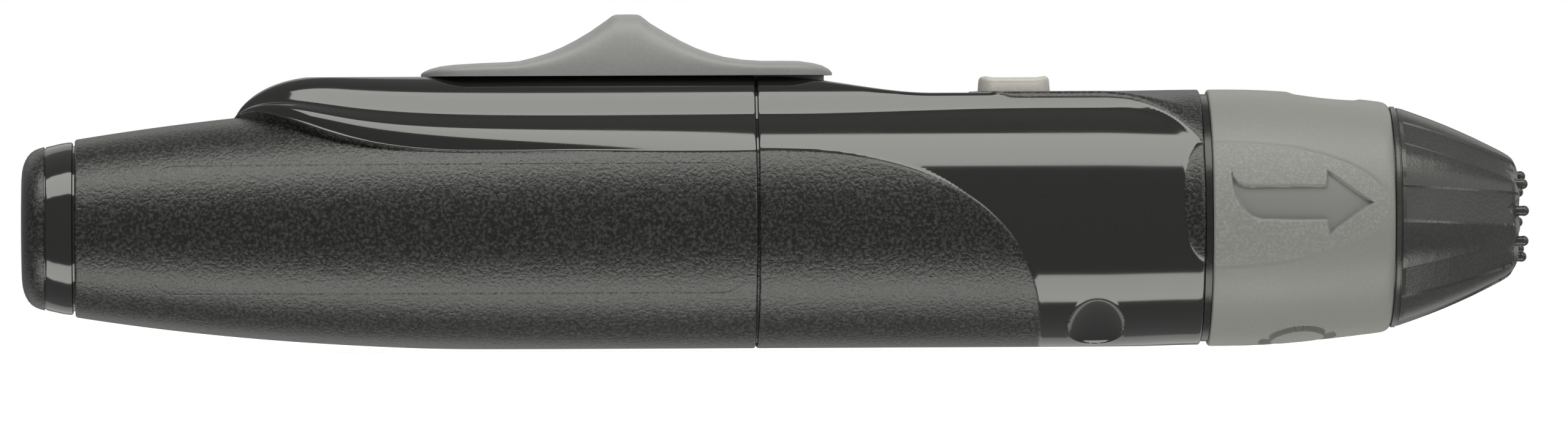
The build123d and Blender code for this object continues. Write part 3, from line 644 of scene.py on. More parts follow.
@dataclass
class HousingForm:
    """Outer form of the barrel: a round body with a raised rail on its top."""

    tail: float = 4.0
    seam: float = 56.0
    body_radius: float = 10.05
    tail_gain: float = 2.85
    tail_drop: float = 0.45
    rail_start: float = 16.3
    rail_rise: float = 8.2
    rail_climb: Point = (2.3, 0.7)
    rail_top: float = 11.0
    rail_spread: float = 5.3
    rail_radius: float = 8.5
    least_spread: float = 0.001
    tier: float = 9.95
    tier_edge: Point = (43.5, 57.0)
    wall_lean: float = 59.0
    wall: Point = (9.2, 8.95)
    wall_change: Point = (58.0, 78.0)
    brow: float = 2.1
    fillet: float = 0.15
    deck_top: float = 9.62
    deck_fall: Point = (56.5, 69.5)
    deck_round: float = 0.25
    deck_start: float = 72.4
    deck_end: Point = (76.0, 3.6)
    deck_power: float = 2.4
    deck_angle: float = 28.0
    flare_angle: float = 26.0
    flare_start: float = 83.5
    flare_length: float = 6.4
    flare_power: float = 2.2
    shoulder: float = 9.8
    shoulder_fade: Point = (82.0, 89.9)
    belly: float = 9.8
    belly_reach: float = 0.2
    belly_round: float = 0.12
    grip_lift: float = 0.1
    grip_edge: Point = (-0.12, 0.12)
    grip_radius: float = 9.0
    steepest: float = 50.0
    polish_angle: float = 56.0
    polish_gain: float = 2.5
    polish_change: Point = (40.0, 56.0)
    petal_size: Point = (21.5, 15.1)
    petal_power: float = 2.45
    petal_scale: float = 17.0
    petal_turn: float = 0.6
    patch_middle: Point = (90.3, 1.3)
    patch_size: Point = (2.0, 4.45)
    patch_power: float = 2.5
    patch_scale: float = 2.2
    outside: float = -5.0
    frame_middle: Point = (32.45, -0.6)
    frame_half: Point = (22.75, 4.9)
    frame_corner: float = 2.0

    def share(self, x: Array) -> Array:
        """Share of the way from the tail to the seam."""
        return np.clip((x - self.tail) / (self.seam - self.tail), 0.0, 1.0)

    def drop(self, x: Array) -> Array:
        """How far the round body's centre lies below the axis."""
        return self.tail_drop * (1.0 - self.share(x) ** 2)

    def round_radius(self, x: Array) -> Array:
        """Radius of the round body."""
        return self.body_radius - self.tail_gain * (1.0 - self.share(x)) ** 3 - self.drop(x)

    def narrow(self, x: Array) -> Array:
        """Share of its full width that the rail has yet to reach."""
        return np.exp(-(x - self.rail_start) / self.rail_spread)

    def rail(self, x: Array, turn: Array) -> Array:
        """Radius of the polished body: round tier, leaning wall and flat top.

        Args:
            x: Stations, shape (rings, 1).
            turn: Turn from the top without sign, in radians.

        Returns:
            Radius at each point.
        """
        base = self.round_radius(x) - self.grip_lift
        share = np.maximum(1.0 - self.narrow(np.maximum(x, self.rail_start)), self.least_spread)
        scaled = np.minimum(turn / share, math.pi / 2)
        low, high = np.radians(self.tier_edge)
        sink = self.tier + self.drop(x) * np.cos(high * share) - base
        tier = self.tier - sink * np.clip((scaled - low) / (high - low), 0.0, 1.0) ** 2
        reach = self.wall[0] + (self.wall[1] - self.wall[0]) * smoothstep(*self.wall_change, x)
        wall = flat_radius(reach, scaled - math.radians(self.wall_lean))
        block = soft_min(flat_radius(self.rail_top, scaled), wall, self.brow)
        outer = -soft_min(-tier, -block, self.fillet) + self.drop(x) * np.cos(turn)
        rise = np.clip((x - self.rail_start) / self.rail_rise, 0.0, 1.0)
        climb = (1.0 - (1.0 - rise) ** self.rail_climb[0]) ** self.rail_climb[1]
        return np.where(scaled < high, base + (outer - base) * climb, base)

    def finished(self, x: Array, turn: Array, radius: Array, grip: Array) -> Array:
        """Lift the grained grounds and flatten the belly that the device lies on.

        Args:
            x: Stations.
            turn: Turn from the top, in radians.
            radius: Radius of the smooth body.
            grip: Distance into the grained grounds.

        Returns:
            Radius of the skin.
        """
        lifted = radius + self.grip_lift * smoothstep(*self.grip_edge, grip)
        rest = flat_radius(self.belly - self.drop(x), turn - math.pi, self.belly_reach)
        return soft_min(lifted, rest, self.belly_round)

    def rear(self, x: Array, turn: Array) -> Array:
        """Radius of the rear barrel's skin.

        Args:
            x: Stations, shape (rings, 1).
            turn: Turn from the top, in radians.

        Returns:
            Radius at each point.
        """
        level = flat_radius(self.rail_top + self.drop(x), turn)
        radius = np.minimum(self.rail(x, np.abs(turn)), level)
        return self.finished(x, turn, radius, self.rear_grip(x, turn))

    def front(self, x: Array, turn: Array) -> Array:
        """Radius of the front barrel's skin.

        Args:
            x: Stations, shape (rings, 1).
            turn: Turn from the top, in radians.

        Returns:
            Radius at each point.
        """
        widen = self.deck_angle / (self.deck_angle + self.flare(x))
        top = self.rail_top + (self.deck_top - self.rail_top) * smoothstep(*self.deck_fall, x)
        rail = self.rail(x, np.abs(turn) * widen)
        radius = soft_min(rail, flat_radius(top, turn), self.deck_round)
        fade = smoothstep(*self.shoulder_fade, x)
        radius = radius + (self.shoulder - self.grip_lift - radius) * fade
        return self.finished(x, turn, radius, self.front_grip(x, turn, radius * np.cos(turn)))

    def flare(self, x: Array) -> Array:
        """Degrees by which the deck widens towards the collar."""
        run = np.clip((x - self.flare_start) / self.flare_length, 0.0, 1.0)
        return self.flare_angle * run**self.flare_power

    def polish_edge(self, x: Array) -> Array:
        """Turn at which the rail's polish meets the grain of the rear barrel, in radians."""
        edge = self.polish_angle * (1.0 - self.narrow(x))
        return np.radians(edge + self.polish_gain * smoothstep(*self.polish_change, x))

    def rear_grip(self, x: Array, turn: Array) -> Array:
        """Distance into the grained panel of the rear barrel.

        Args:
            x: Stations.
            turn: Turn from the top, in radians.

        Returns:
            Distance in millimetres, positive on the grain.
        """
        rate = math.radians(self.polish_angle) * self.narrow(x) / self.rail_spread
        slope = rate * self.rail_radius
        across = (np.abs(turn) - self.polish_edge(x)) * self.grip_radius
        return across / np.sqrt(1.0 + np.minimum(slope, self.steepest) ** 2)

    def front_grip(self, x: Array, turn: Array, height: Array) -> Array:
        """Distance into the grained petal, deck or patch of the front barrel.

        Args:
            x: Stations.
            turn: Turn from the top, in radians.
            height: Height above the axis.

        Returns:
            Distance in millimetres, positive on the grain.
        """
        side = np.abs(turn)
        along = np.maximum(x - self.seam, 0.0) / self.petal_size[0]
        up = np.maximum(height + self.belly, 0.0) / self.petal_size[1]
        petal = (1.0 - oval(along, up, self.petal_power)) * self.petal_scale
        petal = np.where(side > self.petal_turn, petal, self.outside)
        short = np.clip((self.deck_end[0] - x) / self.deck_end[1], 0.0, 1.0)
        width = (1.0 - short**self.deck_power) ** (1.0 / self.deck_power)
        deck = np.radians(self.deck_angle * width + self.flare(x)) - side
        deck = np.where(x > self.deck_start, deck * self.shoulder, self.outside)
        behind = np.maximum(self.patch_middle[0] - x, 0.0) / self.patch_size[0]
        over = np.abs(height - self.patch_middle[1]) / self.patch_size[1]
        patch = (1.0 - oval(behind, over, self.patch_power)) * self.patch_scale
        return np.maximum(np.maximum(petal, deck), patch)

    def label_frame(self, x: Array, height: Array) -> Array:
        """Signed distance to the hairline frame on the rear side panel.

        Args:
            x: Stations.
            height: Height above the axis.

        Returns:
            Distance in millimetres, negative inside the frame.
        """
        corner = self.frame_corner
        from_x = np.abs(x - self.frame_middle[0]) - (self.frame_half[0] - corner)
        from_z = np.abs(height - self.frame_middle[1]) - (self.frame_half[1] - corner)
        outside = np.hypot(np.maximum(from_x, 0.0), np.maximum(from_z, 0.0))
        return outside + np.minimum(np.maximum(from_x, from_z), 0.0) - corner


def rimmed(start: float, end: float, along: Array) -> tuple[Array, Array]:
    """Stations of a shell with rounded end edges.

    Args:
        start: Station of its rear end.
        end: Station of its front end.
        along: Stations between the two edges.

    Returns:
        Stations, and how far the ring at each is set in.
    """
    reach, inset = np.array(END_ROUND).T
    stations = np.concatenate([start + reach, along, end - reach[::-1]])
    return stations, np.concatenate([inset, np.zeros(len(along)), inset[::-1]])


@dataclass
class RearBarrel(Moulding):
    """Tapered rear shell with the slider's track, the stem's slot and the carrier's channel."""

    seat: ClassVar[Seat] = Seat(Part.HOUSING, Slot.HOUSING, ("rear_barrel",))
    form: HousingForm
    start: float = 4.1
    end: float = 55.9
    rings: tuple[Span, ...] = ((4.4, 15.8, 38), (15.8, 34.0, 125), (34.0, 55.6, 60))
    inside: int = 80
    outside: int = 84
    even: float = 0.45
    border: tuple[float, ...] = (-0.24, -0.16, -0.1, -0.05, 0.0, 0.05, 0.1, 0.16, 0.24)
    border_turn: float = 0.2
    least_turn: float = 0.07
    bore: Outline = (
        (55.9, 8.45), (49.9, 8.4), (36.0, 8.0), (16.3, 6.2), (9.0, 5.4), (9.0, 4.65), (4.1, 4.65),
    )
    track: Box = ((25.4, -2.6, 10.1), (60.0, 2.6, 14.0))
    stem_slot: Box = ((31.25, -1.5, 0.3), (60.0, 1.5, 12.0))
    channel: Box = ((29.25, -3.3, 0.2), (60.0, 3.3, 9.4))

    def turns(self, x: float) -> Array:
        """Turns of one ring, close together at the edge of the rail's polish.

        Args:
            x: Station of the ring.

        Returns:
            Turns from the top, in radians, once round.
        """
        edge = max(float(self.form.polish_edge(np.float64(x))), self.least_turn)
        squeeze = min(1.0, edge / self.border_turn)
        band = edge + np.array(self.border) / self.form.grip_radius * squeeze
        inner = np.linspace(0.0, band[0], self.inside, endpoint=False)
        share = np.linspace(0.0, 1.0, self.outside)[1:]
        outer = band[-1] + (math.pi - band[-1]) * (self.even * share + (1.0 - self.even) * share**2)
        half = np.concatenate([inner, band, outer])
        return np.concatenate([-half[:0:-1], half[:-1]])

    def skin(self) -> Skin:
        """Closed shell: outer form, end faces and bore.

        Returns:
            The skin before the cuts.
        """
        along = np.append(spaced(self.rings), self.rings[-1][1])
        stations, inset = rimmed(self.start, self.end, along)
        turns = np.array([self.turns(x) for x in stations])
        radii = self.form.rear(stations[:, None], turns) - inset[:, None]
        outer = ring_points(stations, turns, radii, self.form.drop(stations))
        return Skin.tube(outer, self.bore, turns[-1])

    def cutters(self) -> list[Skin]:
        """Track, stem slot and carrier channel."""
        return [Skin.box(*each) for each in (self.track, self.stem_slot, self.channel)]

    def marks(self, x: Array, y: Array, height: Array) -> Marks:
        """Grained panel and hairline frame."""
        turn = np.arctan2(y, height + self.form.drop(x))
        return {"grip": self.form.rear_grip(x, turn), "frame": self.form.label_frame(x, height)}


@dataclass
class FrontBarrel(Moulding):
    """Front shell with the deck, the dimple, the joint tube behind it and the neck."""

    seat: ClassVar[Seat] = Seat(Part.HOUSING, Slot.HOUSING, ("front_barrel",))
    form: HousingForm
    start: float = 56.05
    end: float = 89.9
    columns: tuple[Span, ...] = ((-166.0, -125.0, 110), (-125.0, 194.0, 280))
    rings: tuple[Span, ...] = ((56.33, 79.0, 128), (79.0, 84.5, 62), (84.5, 89.62, 29))
    seam_step: Outline = ((-0.13, 0.42), (0.0, 0.42))
    bore: Outline = (
        (89.9, 7.6), (97.9, 7.6), (98.1, 7.4), (98.1, 4.65), (84.3, 4.65), (84.3, 8.4),
        (62.05, 8.4), (62.05, 7.2), (49.9, 7.2), (49.9, 8.4), (55.92, 8.4),
    )
    dimple_x: float = 81.75
    dimple_turn: float = -145.6
    dimple_radius: float = 9.8
    dimple_reach: Point = (2.15, 3.0)
    dimple_depth: float = 0.8
    dimple_power: float = 0.75
    lip_height: float = 0.015
    lip_width: float = 0.045
    lip_middle: float = 1.04
    track: Box = ((55.0, -2.6, 10.1), (68.9, 2.6, 14.0))
    pocket: Box = ((62.0, -3.2, 5.8), (79.05, 3.2, 8.72))
    carrier_slot: Box = ((49.0, -3.5, 0.0), (56.02, 3.5, 14.0))
    hole_middle: float = 75.8
    hole_half: Point = (2.75, 2.7)
    hole_corner: float = 1.1
    hole_reach: Point = (5.5, 12.0)

    def dimple(self, x: Array, turn: Array) -> Array:
        """Depth of the round index dimple, with its raised lip.

        Args:
            x: Stations.
            turn: Turn from the top, in radians.

        Returns:
            Depth at each point, negative on the lip.
        """
        across = (turn - math.radians(self.dimple_turn)) * self.dimple_radius
        away = np.hypot((x - self.dimple_x) / self.dimple_reach[0], across / self.dimple_reach[1])
        bowl = np.clip(1.0 - away * away, 0.0, 1.0)
        lip = np.exp(-(((away - self.lip_middle) / self.lip_width) ** 2))
        return self.dimple_depth * bowl**self.dimple_power - self.lip_height * lip

    def skin(self) -> Skin:
        """Closed shell: seam step, outer form, neck and bore.

        Returns:
            The skin before the cuts.
        """
        turns = wrap(np.radians(spaced(self.columns)))
        step, step_inset = np.array(self.seam_step).T
        stations, inset = rimmed(self.start, self.end, spaced(self.rings))
        stations = np.concatenate([self.start + step, stations])
        inset = np.concatenate([step_inset, inset])
        x = stations[:, None]
        radii = self.form.front(x, turns[None, :]) - inset[:, None] - self.dimple(x, turns[None, :])
        return Skin.tube(ring_points(stations, turns, radii), self.bore, turns)

    def cutters(self) -> list[Skin]:
        """Track, pocket under the deck, button hole and the carrier's slot in the joint tube.

        Returns:
            The shapes to cut out.
        """
        loops = [
            rounded_plan((self.hole_middle, height), self.hole_half, self.hole_corner)
            for height in self.hole_reach
        ]
        hole = Skin.over(np.array(loops))
        return [Skin.box(*self.track), Skin.box(*self.pocket), hole, Skin.box(*self.carrier_slot)]

    def marks(self, x: Array, y: Array, height: Array) -> Marks:
        """Grained petal, deck and patch."""
        return {"grip": self.form.front_grip(x, np.arctan2(y, height), height), "frame": NO_FRAME}


@dataclass
class EndCap(Moulding):
    """Rounded plug at the tail: grained dome and bright band."""

    seat: ClassVar[Seat] = Seat(Part.HOUSING, Slot.HOUSING, ("end_cap",))
    drop: float = 0.45
    columns: int = 192
    plug_columns: int = 64
    dome: Outline = (
        (0.0, 0.9), (0.0, 3.0), (0.02, 3.9), (0.07, 4.4), (0.16, 4.8), (0.3, 5.17), (0.5, 5.52),
        (0.75, 5.8), (1.05, 6.0), (1.4, 6.14), (1.72, 6.22), (1.76, 6.22), (1.8, 6.12),
        (1.86, 6.12), (1.9, 6.2), (1.98, 6.24), (2.5, 6.36), (3.1, 6.5), (3.7, 6.58),
        (3.87, 6.56), (3.93, 6.5), (3.95, 6.42), (3.95, 6.3), (4.09, 6.3), (4.09, 4.6),
    )
    plug: Outline = ((3.9, 4.6), (8.7, 4.6), (8.7, 2.6), (14.7, 2.6), (14.7, 0.5))
    grip_end: float = 1.79

    def skin(self) -> Skin:
        """Dome and plug as closed shells.

        Returns:
            The skin.
        """
        skin = Skin.lathe(self.dome, self.columns, self.drop)
        skin.join(Skin.lathe(self.plug, self.plug_columns))
        return skin

    def marks(self, x: Array, y: Array, height: Array) -> Marks:
        """Grain on the dome alone."""
        return {"grip": self.grip_end - x, "frame": NO_FRAME}


@dataclass
class ThumbSlider(Moulding):
    """Saddle-shaped thumb slider with its tongue and stem."""

    seat: ClassVar[Seat] = Seat(Part.SLIDER, Slot.SLIDER, ("thumb_slider",))
    base: float = 11.02
    half_width: float = 4.2
    plan_corner: float = 3.6
    across_power: float = 5.0
    upright_power: float = 2.2
    square_gain: float = 3.0
    full_height: float = 4.7
    half_steps: int = 22
    under_steps: int = 9
    rows: int = 260
    ease: float = 0.35
    inset: float = 0.02
    tongue: Box = ((32.1, -2.5, 10.2), (61.2, 2.5, 11.04))
    stem: Box = ((38.05, -1.4, 8.05), (43.05, 1.4, 11.04))
    crest: Outline = (
        (30.5, 11.2), (30.7, 11.38), (31.2, 11.6), (32.0, 11.8), (33.0, 11.92), (35.0, 12.03),
        (37.0, 12.1), (38.0, 12.18), (39.0, 12.42), (40.2, 12.78), (41.3, 13.24), (42.4, 13.8),
        (43.5, 14.45), (44.65, 15.25), (45.15, 15.62), (45.4, 15.7), (46.2, 15.72), (47.0, 15.7),
        (47.25, 15.62), (48.0, 15.02), (49.2, 14.3), (50.3, 13.68), (51.4, 13.15), (52.5, 12.74),
        (53.6, 12.44), (55.0, 12.22), (56.5, 12.12), (58.0, 12.12), (59.3, 12.1), (60.4, 11.94),
        (61.1, 11.76), (61.6, 11.5), (61.85, 11.25), (61.9, 11.15),
    )

    def section(self, x: float) -> Array:
        """Closed section of the saddle.

        Args:
            x: Station of the section.

        Returns:
            Points of shape (n, 3), round the section.
        """
        line, corner = np.array(self.crest), self.plan_corner
        bend = max(corner - min(x - line[0, 0], line[-1, 0] - x), 0.0)
        width = self.half_width - corner + math.sqrt(max(corner**2 - bend**2, 0.0))
        rise = float(np.interp(x, line[:, 0], line[:, 1])) - self.base
        swing = np.linspace(0.0, math.pi / 2, self.half_steps)[:-1]
        power = self.upright_power + self.square_gain * max(0.0, 1.0 - rise / self.full_height)
        out = width * np.cos(swing) ** (2.0 / self.across_power)
        up = self.base + rise * np.sin(swing) ** (2.0 / power)
        under = width * (2.0 * np.arange(1, self.under_steps) / self.under_steps - 1.0)
        y = np.concatenate([out, [0.0], -out[::-1], under])
        z = np.concatenate([up, [self.base + rise], up[::-1], np.full(len(under), self.base)])
        return np.stack([np.full(len(y), x), y, z], axis=-1)

    def skin(self) -> Skin:
        """Saddle, tongue and stem as closed shells.

        Returns:
            The skin.
        """
        rear, front = self.crest[0][0] + self.inset, self.crest[-1][0] - self.inset
        share = np.linspace(0.0, 1.0, self.rows)
        share = share + self.ease * (0.5 - 0.5 * np.cos(math.pi * share) - share)
        skin = Skin.over(np.array([self.section(x) for x in rear + (front - rear) * share]))
        skin.join(Skin.box(*self.tongue))
        skin.join(Skin.box(*self.stem))
        return skin


@dataclass
class ReleaseButton(Moulding):
    """Dished release button with the flange that keeps it in the deck."""

    seat: ClassVar[Seat] = Seat(Part.BUTTON, Slot.BUTTON, ("release_button",))
    centre: float = 75.8
    half: Point = (2.65, 2.6)
    corner: float = 1.0
    least_corner: float = 0.2
    sides: Outline = ((0.5, 7.97), (0.5, 8.67), (0.05, 8.67), (0.05, 9.6), (0.0, 10.3))
    top: float = 10.97
    brow: float = 0.45
    brow_steps: int = 8
    brow_inset: float = 0.03
    dish: float = 0.3
    dish_rows: Span = (0.9, 0.04, 14)
    nub: Box = ((75.3, -1.8, 7.32), (76.3, 1.8, 8.02))

    def loop(self, grow: float, height: float) -> Array:
        """Outline of the button, grown by a margin, at one height."""
        half = (self.half[0] + grow, self.half[1] + grow)
        return rounded_plan((self.centre, height), half, max(self.corner + grow, self.least_corner))

    def skin(self) -> Skin:
        """Button and flange as one closed shell, and the nub below it.

        Returns:
            The skin.
        """
        sides = [self.loop(*side) for side in self.sides]
        face = []
        for angle in np.linspace(0.0, math.pi / 2, self.brow_steps):
            inward = self.brow * (1 - math.cos(angle)) + self.brow_inset
            face.append(self.loop(-inward, self.top - self.brow * (1 - math.sin(angle))))
        rim, middle = face[-1], np.array([self.centre, 0.0, self.top])
        face.extend(middle + (rim - middle) * share for share in np.linspace(*self.dish_rows))
        for row in face:
            row[:, 2] -= self.dish * (1 - ((row[:, 0] - self.centre) / self.half[0]) ** 2)
        skin = Skin.over(np.array(sides + face))
        skin.join(Skin.box(*self.nub))
        return skin


@dataclass
class TwistCollar(Moulding):
    """Grey collar with its grained panel, sunk arrow, ring groove and top dish."""

    seat: ClassVar[Seat] = Seat(Part.COLLAR, Slot.COLLAR, ("twist_collar",))
    profile: Outline = (
        (90.52, 9.62), (90.55, 9.7), (90.62, 9.77), (90.75, 9.8), (92.0, 9.8), (93.5, 9.78),
        (95.0, 9.72), (96.3, 9.64), (98.0, 9.49), (99.7, 9.3), (101.4, 9.11), (103.0, 8.92),
        (103.75, 8.82), (104.05, 8.74), (104.25, 8.62), (104.37, 8.5), (104.42, 8.38),
    )
    bore: Outline = (
        (104.42, 8.35), (100.5, 8.35), (100.5, 7.25), (99.7, 7.25), (99.7, 8.35), (90.52, 8.35),
    )
    rings: tuple[Span, ...] = ((90.9, 91.8, 6), (91.8, 103.4, 164))
    rim_rings: tuple[int, int] = (4, 5)
    arrow_turn: float = -82.4
    arrow_radius: float = 9.5
    arrow_reach: float = 5.2
    arrow_columns: int = 170
    groove_columns: Span = (252.0, 297.0, 125)
    plain_columns: tuple[int, int] = (110, 25)
    arrow: Outline = (
        (91.879, 2.479), (92.02, 1.848), (92.347, 1.42), (92.815, 1.231), (93.377, 1.183),
        (99.134, 1.318), (99.228, 2.529), (102.738, -0.051), (99.368, -2.665), (99.181, -1.564),
        (94.173, -1.484), (93.424, -1.253), (92.722, -0.659), (92.207, 0.256), (91.973, 1.279),
    )
    arrow_depth: float = 0.3
    arrow_edge: Point = (-0.05, 0.13)
    panel: Outline = (
        (89.773, 4.806), (90.615, 4.64), (93.985, 4.515), (96.794, 4.276), (98.9, 3.787),
        (100.772, 3.131), (101.942, 2.492), (102.972, 1.638), (103.674, 0.728), (103.955, -0.031),
        (103.908, -0.846), (103.44, -1.6), (102.317, -2.383), (100.538, -3.231), (98.76, -3.911),
        (96.794, -4.333), (94.828, -4.62), (92.581, -4.781), (90.803, -4.867), (89.773, -4.933),
    )
    panel_depth: float = 0.07
    panel_edge: Point = (-0.35, 0.1)
    groove_middle: Point = (97.3, -168.0)
    groove_arc: float = 9.4
    groove_radius: float = 2.5
    groove_depth: float = 0.42
    groove_edge: Point = (0.49, 0.35)
    dish_middle: Point = (99.45, 4.0)
    dish_arc: float = 9.3
    dish_half: Point = (2.95, 4.2)
    dish_depth: float = 0.22
    dish_edge: Point = (0.0, 0.25)

    def turns(self) -> Array:
        """Turns of the columns, close together round the arrow and the ring groove.

        Returns:
            Turns from the top, in radians, once round.
        """
        half = math.degrees(self.arrow_reach / self.arrow_radius)
        before, after = self.plain_columns
        start, end, _ = self.groove_columns
        spans = (
            (-half, half, self.arrow_columns), (half, start, before),
            self.groove_columns, (end, 360.0 - half, after),
        )
        return np.radians(self.arrow_turn + spaced(spans))

    def depth(self, x: Array, turn: Array) -> tuple[Array, Array, Array]:
        """Depth of the sunk features, and distances into the grained panel and the arrow.

        Args:
            x: Stations.
            turn: Turn from the top, in radians.

        Returns:
            Depth, panel distance and arrow distance, in millimetres.
        """
        across = wrap(turn - math.radians(self.arrow_turn)) * self.arrow_radius
        places = np.stack([x, across], axis=-1).reshape(-1, 2)
        arrow = polygon_depth(places, self.arrow).reshape(x.shape)
        panel = polygon_depth(places, self.panel).reshape(x.shape)
        depth = self.arrow_depth * smoothstep(*self.arrow_edge, arrow)
        depth = depth + self.panel_depth * smoothstep(*self.panel_edge, panel)
        around = wrap(turn - math.radians(self.groove_middle[1])) * self.groove_arc
        away = np.abs(np.hypot(x - self.groove_middle[0], around) - self.groove_radius)
        depth = depth + self.groove_depth * smoothstep(*self.groove_edge, away)
        along = (x - self.dish_middle[0]) / self.dish_half[0]
        over = wrap(turn - math.radians(self.dish_middle[1])) * self.dish_arc / self.dish_half[1]
        bowl = np.clip(1.0 - along**2 - over**2, 0.0, 1.0)
        depth = depth + self.dish_depth * np.sqrt(bowl) * smoothstep(*self.dish_edge, bowl)
        return depth, np.minimum(panel, -arrow), arrow

    def skin(self) -> Skin:
        """Closed shell: outer form with its sunk features, and bore.

        Returns:
            The skin.
        """
        line, (first, last) = np.array(self.profile), self.rim_rings
        turns = self.turns()
        along = np.append(spaced(self.rings), self.rings[-1][1])
        stations = np.concatenate([line[:first, 0], along, line[-last:, 0]])
        radii = np.interp(stations, line[:, 0], line[:, 1])[:, None]
        depth, _, _ = self.depth(*np.broadcast_arrays(stations[:, None], turns))
        return Skin.tube(ring_points(stations, turns, radii - depth), self.bore, turns)

    def marks(self, x: Array, y: Array, height: Array) -> Marks:
        """Grained panel, and the arrow's sunk floor, which is darkened with painted shade."""
        _, panel, arrow = self.depth(x, np.arctan2(y, height))
        return {"grip": panel, "sunk": arrow, "frame": NO_FRAME}


@dataclass
class DepthNose(Moulding):
    """Fluted nose with notches and beads round its aperture."""

    seat: ClassVar[Seat] = Seat(Part.NOSE, Slot.NOSE, ("depth_nose",))
    crease: ClassVar[float] = 7.0
    profile: Outline = (
        (104.48, 8.3), (104.52, 8.4), (104.6, 8.45), (104.86, 8.43), (104.92, 8.28), (104.97, 8.28),
        (105.02, 8.34), (105.31, 8.24), (106.44, 7.86), (107.56, 7.46), (108.68, 7.03),
        (109.8, 6.56), (110.93, 6.06), (112.05, 5.52), (112.7, 5.2), (113.2, 4.94),
        (113.6, 4.7), (113.85, 4.48), (114.02, 4.22), (114.16, 3.93), (114.26, 3.6), (114.3, 3.3),
    )
    bore: Outline = (
        (114.3, 2.2), (114.2, 2.1), (112.6, 2.1), (112.6, 3.3), (110.3, 4.3), (110.3, 4.87),
        (108.3, 4.87), (108.3, 5.95), (100.9, 5.95), (100.9, 8.25), (104.48, 8.25),
    )
    bore_facets: float = 3.6
    rim_rings: int = 8
    body_rings: int = 110
    flutes: int = 8
    flute_turn: float = 8.0
    flute_half: float = 1.3
    flute_widest: float = 0.38
    flute_start: Point = (104.98, 105.12)
    flute_run: Point = (105.2, 113.5)
    flute_depth: Point = (0.06, 0.2)
    flute_steps: int = 20
    petal_flat: float = -0.6
    petal_steps: int = 16
    notch: Point = (113.25, 114.2)
    notch_half: float = 1.0
    notch_least: float = 1e-6
    notch_depth: float = 0.6
    bead_ring: float = 3.1
    bead_radius: float = 0.4
    bead_stem: float = 0.38
    bead_start: float = 113.6
    bead_tip: float = 115.0
    bead_end: float = 1.45
    bead_steps: int = 24
    bead_columns: int = 56

    def stations(self) -> tuple[Array, Array]:
        """Stations and radii of the rings.

        Returns:
            Stations and radii, evenly spaced along the profile in front of the rim.
        """
        line = np.array(self.profile)
        run = np.concatenate([[0.0], np.cumsum(np.hypot(*np.diff(line, axis=0).T))])
        rim = run[: self.rim_rings]
        fine = np.unique(np.concatenate([rim, np.linspace(rim[-1], run[-1], self.body_rings)]))
        return np.interp(fine, run, line[:, 0]), np.interp(fine, run, line[:, 1])

    def turns(self, radius: float) -> tuple[Array, Array, Array]:
        """Turns of one ring, lined up with the flutes' edges.

        Args:
            radius: Radius of the ring.

        Returns:
            Turn of each column, its distance across the nearest flute and the fall of the facets.
        """
        edge = math.asin(min(self.flute_half / radius, self.flute_widest))
        pitch = 2 * math.pi / self.flutes
        across = np.linspace(-edge, edge, self.flute_steps, endpoint=False)
        over = np.linspace(edge, pitch - edge, self.petal_steps, endpoint=False)
        offset = np.concatenate([radius * np.sin(across), np.full(len(over), np.inf)])
        half = pitch / 2 - edge
        sag = self.petal_flat * radius * (1.0 - math.cos(half))
        flat = radius * (1.0 - math.cos(edge) / np.cos(across))
        fall = np.concatenate([flat, sag * (1.0 - ((over - pitch / 2) / half) ** 2)])
        starts = math.radians(self.flute_turn) + pitch * np.arange(self.flutes)
        turns = (starts[:, None] + np.concatenate([across, over])).ravel()
        return turns, np.tile(offset, self.flutes), np.tile(fall, self.flutes)

    def skin(self) -> Skin:
        """Fluted shell and its beads.

        Returns:
            The skin.
        """
        stations, radii = self.stations()
        turns, offset, fall = np.array([self.turns(radius) for radius in radii]).swapaxes(0, 1)
        x, radius = stations[:, None], radii[:, None]
        inside = np.abs(offset) <= self.flute_half
        near = np.where(inside, offset, 0.0)
        depth = np.interp(x, self.flute_run, self.flute_depth)
        dent = (np.where(inside, depth, 0.0) + fall) * smoothstep(*self.flute_start, x)
        grown = np.clip((x - self.notch[0]) / (self.notch[1] - self.notch[0]), 0.0, 1.0)
        hollow = 1.0 - (near / (self.notch_half * grown + self.notch_least)) ** 2
        hollow = np.where(inside, np.sqrt(np.clip(hollow, 0.0, 1.0)), 0.0)
        dent = dent + hollow * self.notch_depth * grown
        bore_turns, _, _ = self.turns(self.bore_facets)
        skin = Skin.tube(ring_points(stations, turns, radius - dent), self.bore, bore_turns)
        bead = self.bead()
        for number in range(self.flutes):
            turn = math.radians(self.flute_turn) + 2 * math.pi * number / self.flutes
            aside, up = self.bead_ring * math.sin(turn), self.bead_ring * math.cos(turn)
            skin.join(bead, (0.0, aside, up))
        return skin

    def bead(self) -> Skin:
        """Round-ended bead on its stem, on the axis.

        Returns:
            The closed skin.
        """
        middle, size = self.bead_tip - self.bead_radius, self.bead_radius
        waist = math.acos(self.bead_stem / size)
        angles = np.linspace(-waist, self.bead_end, self.bead_steps)
        cap = [(middle + size * math.sin(angle), size * math.cos(angle)) for angle in angles]
        return Skin.lathe(((self.bead_start, self.bead_stem), *cap), self.bead_columns)


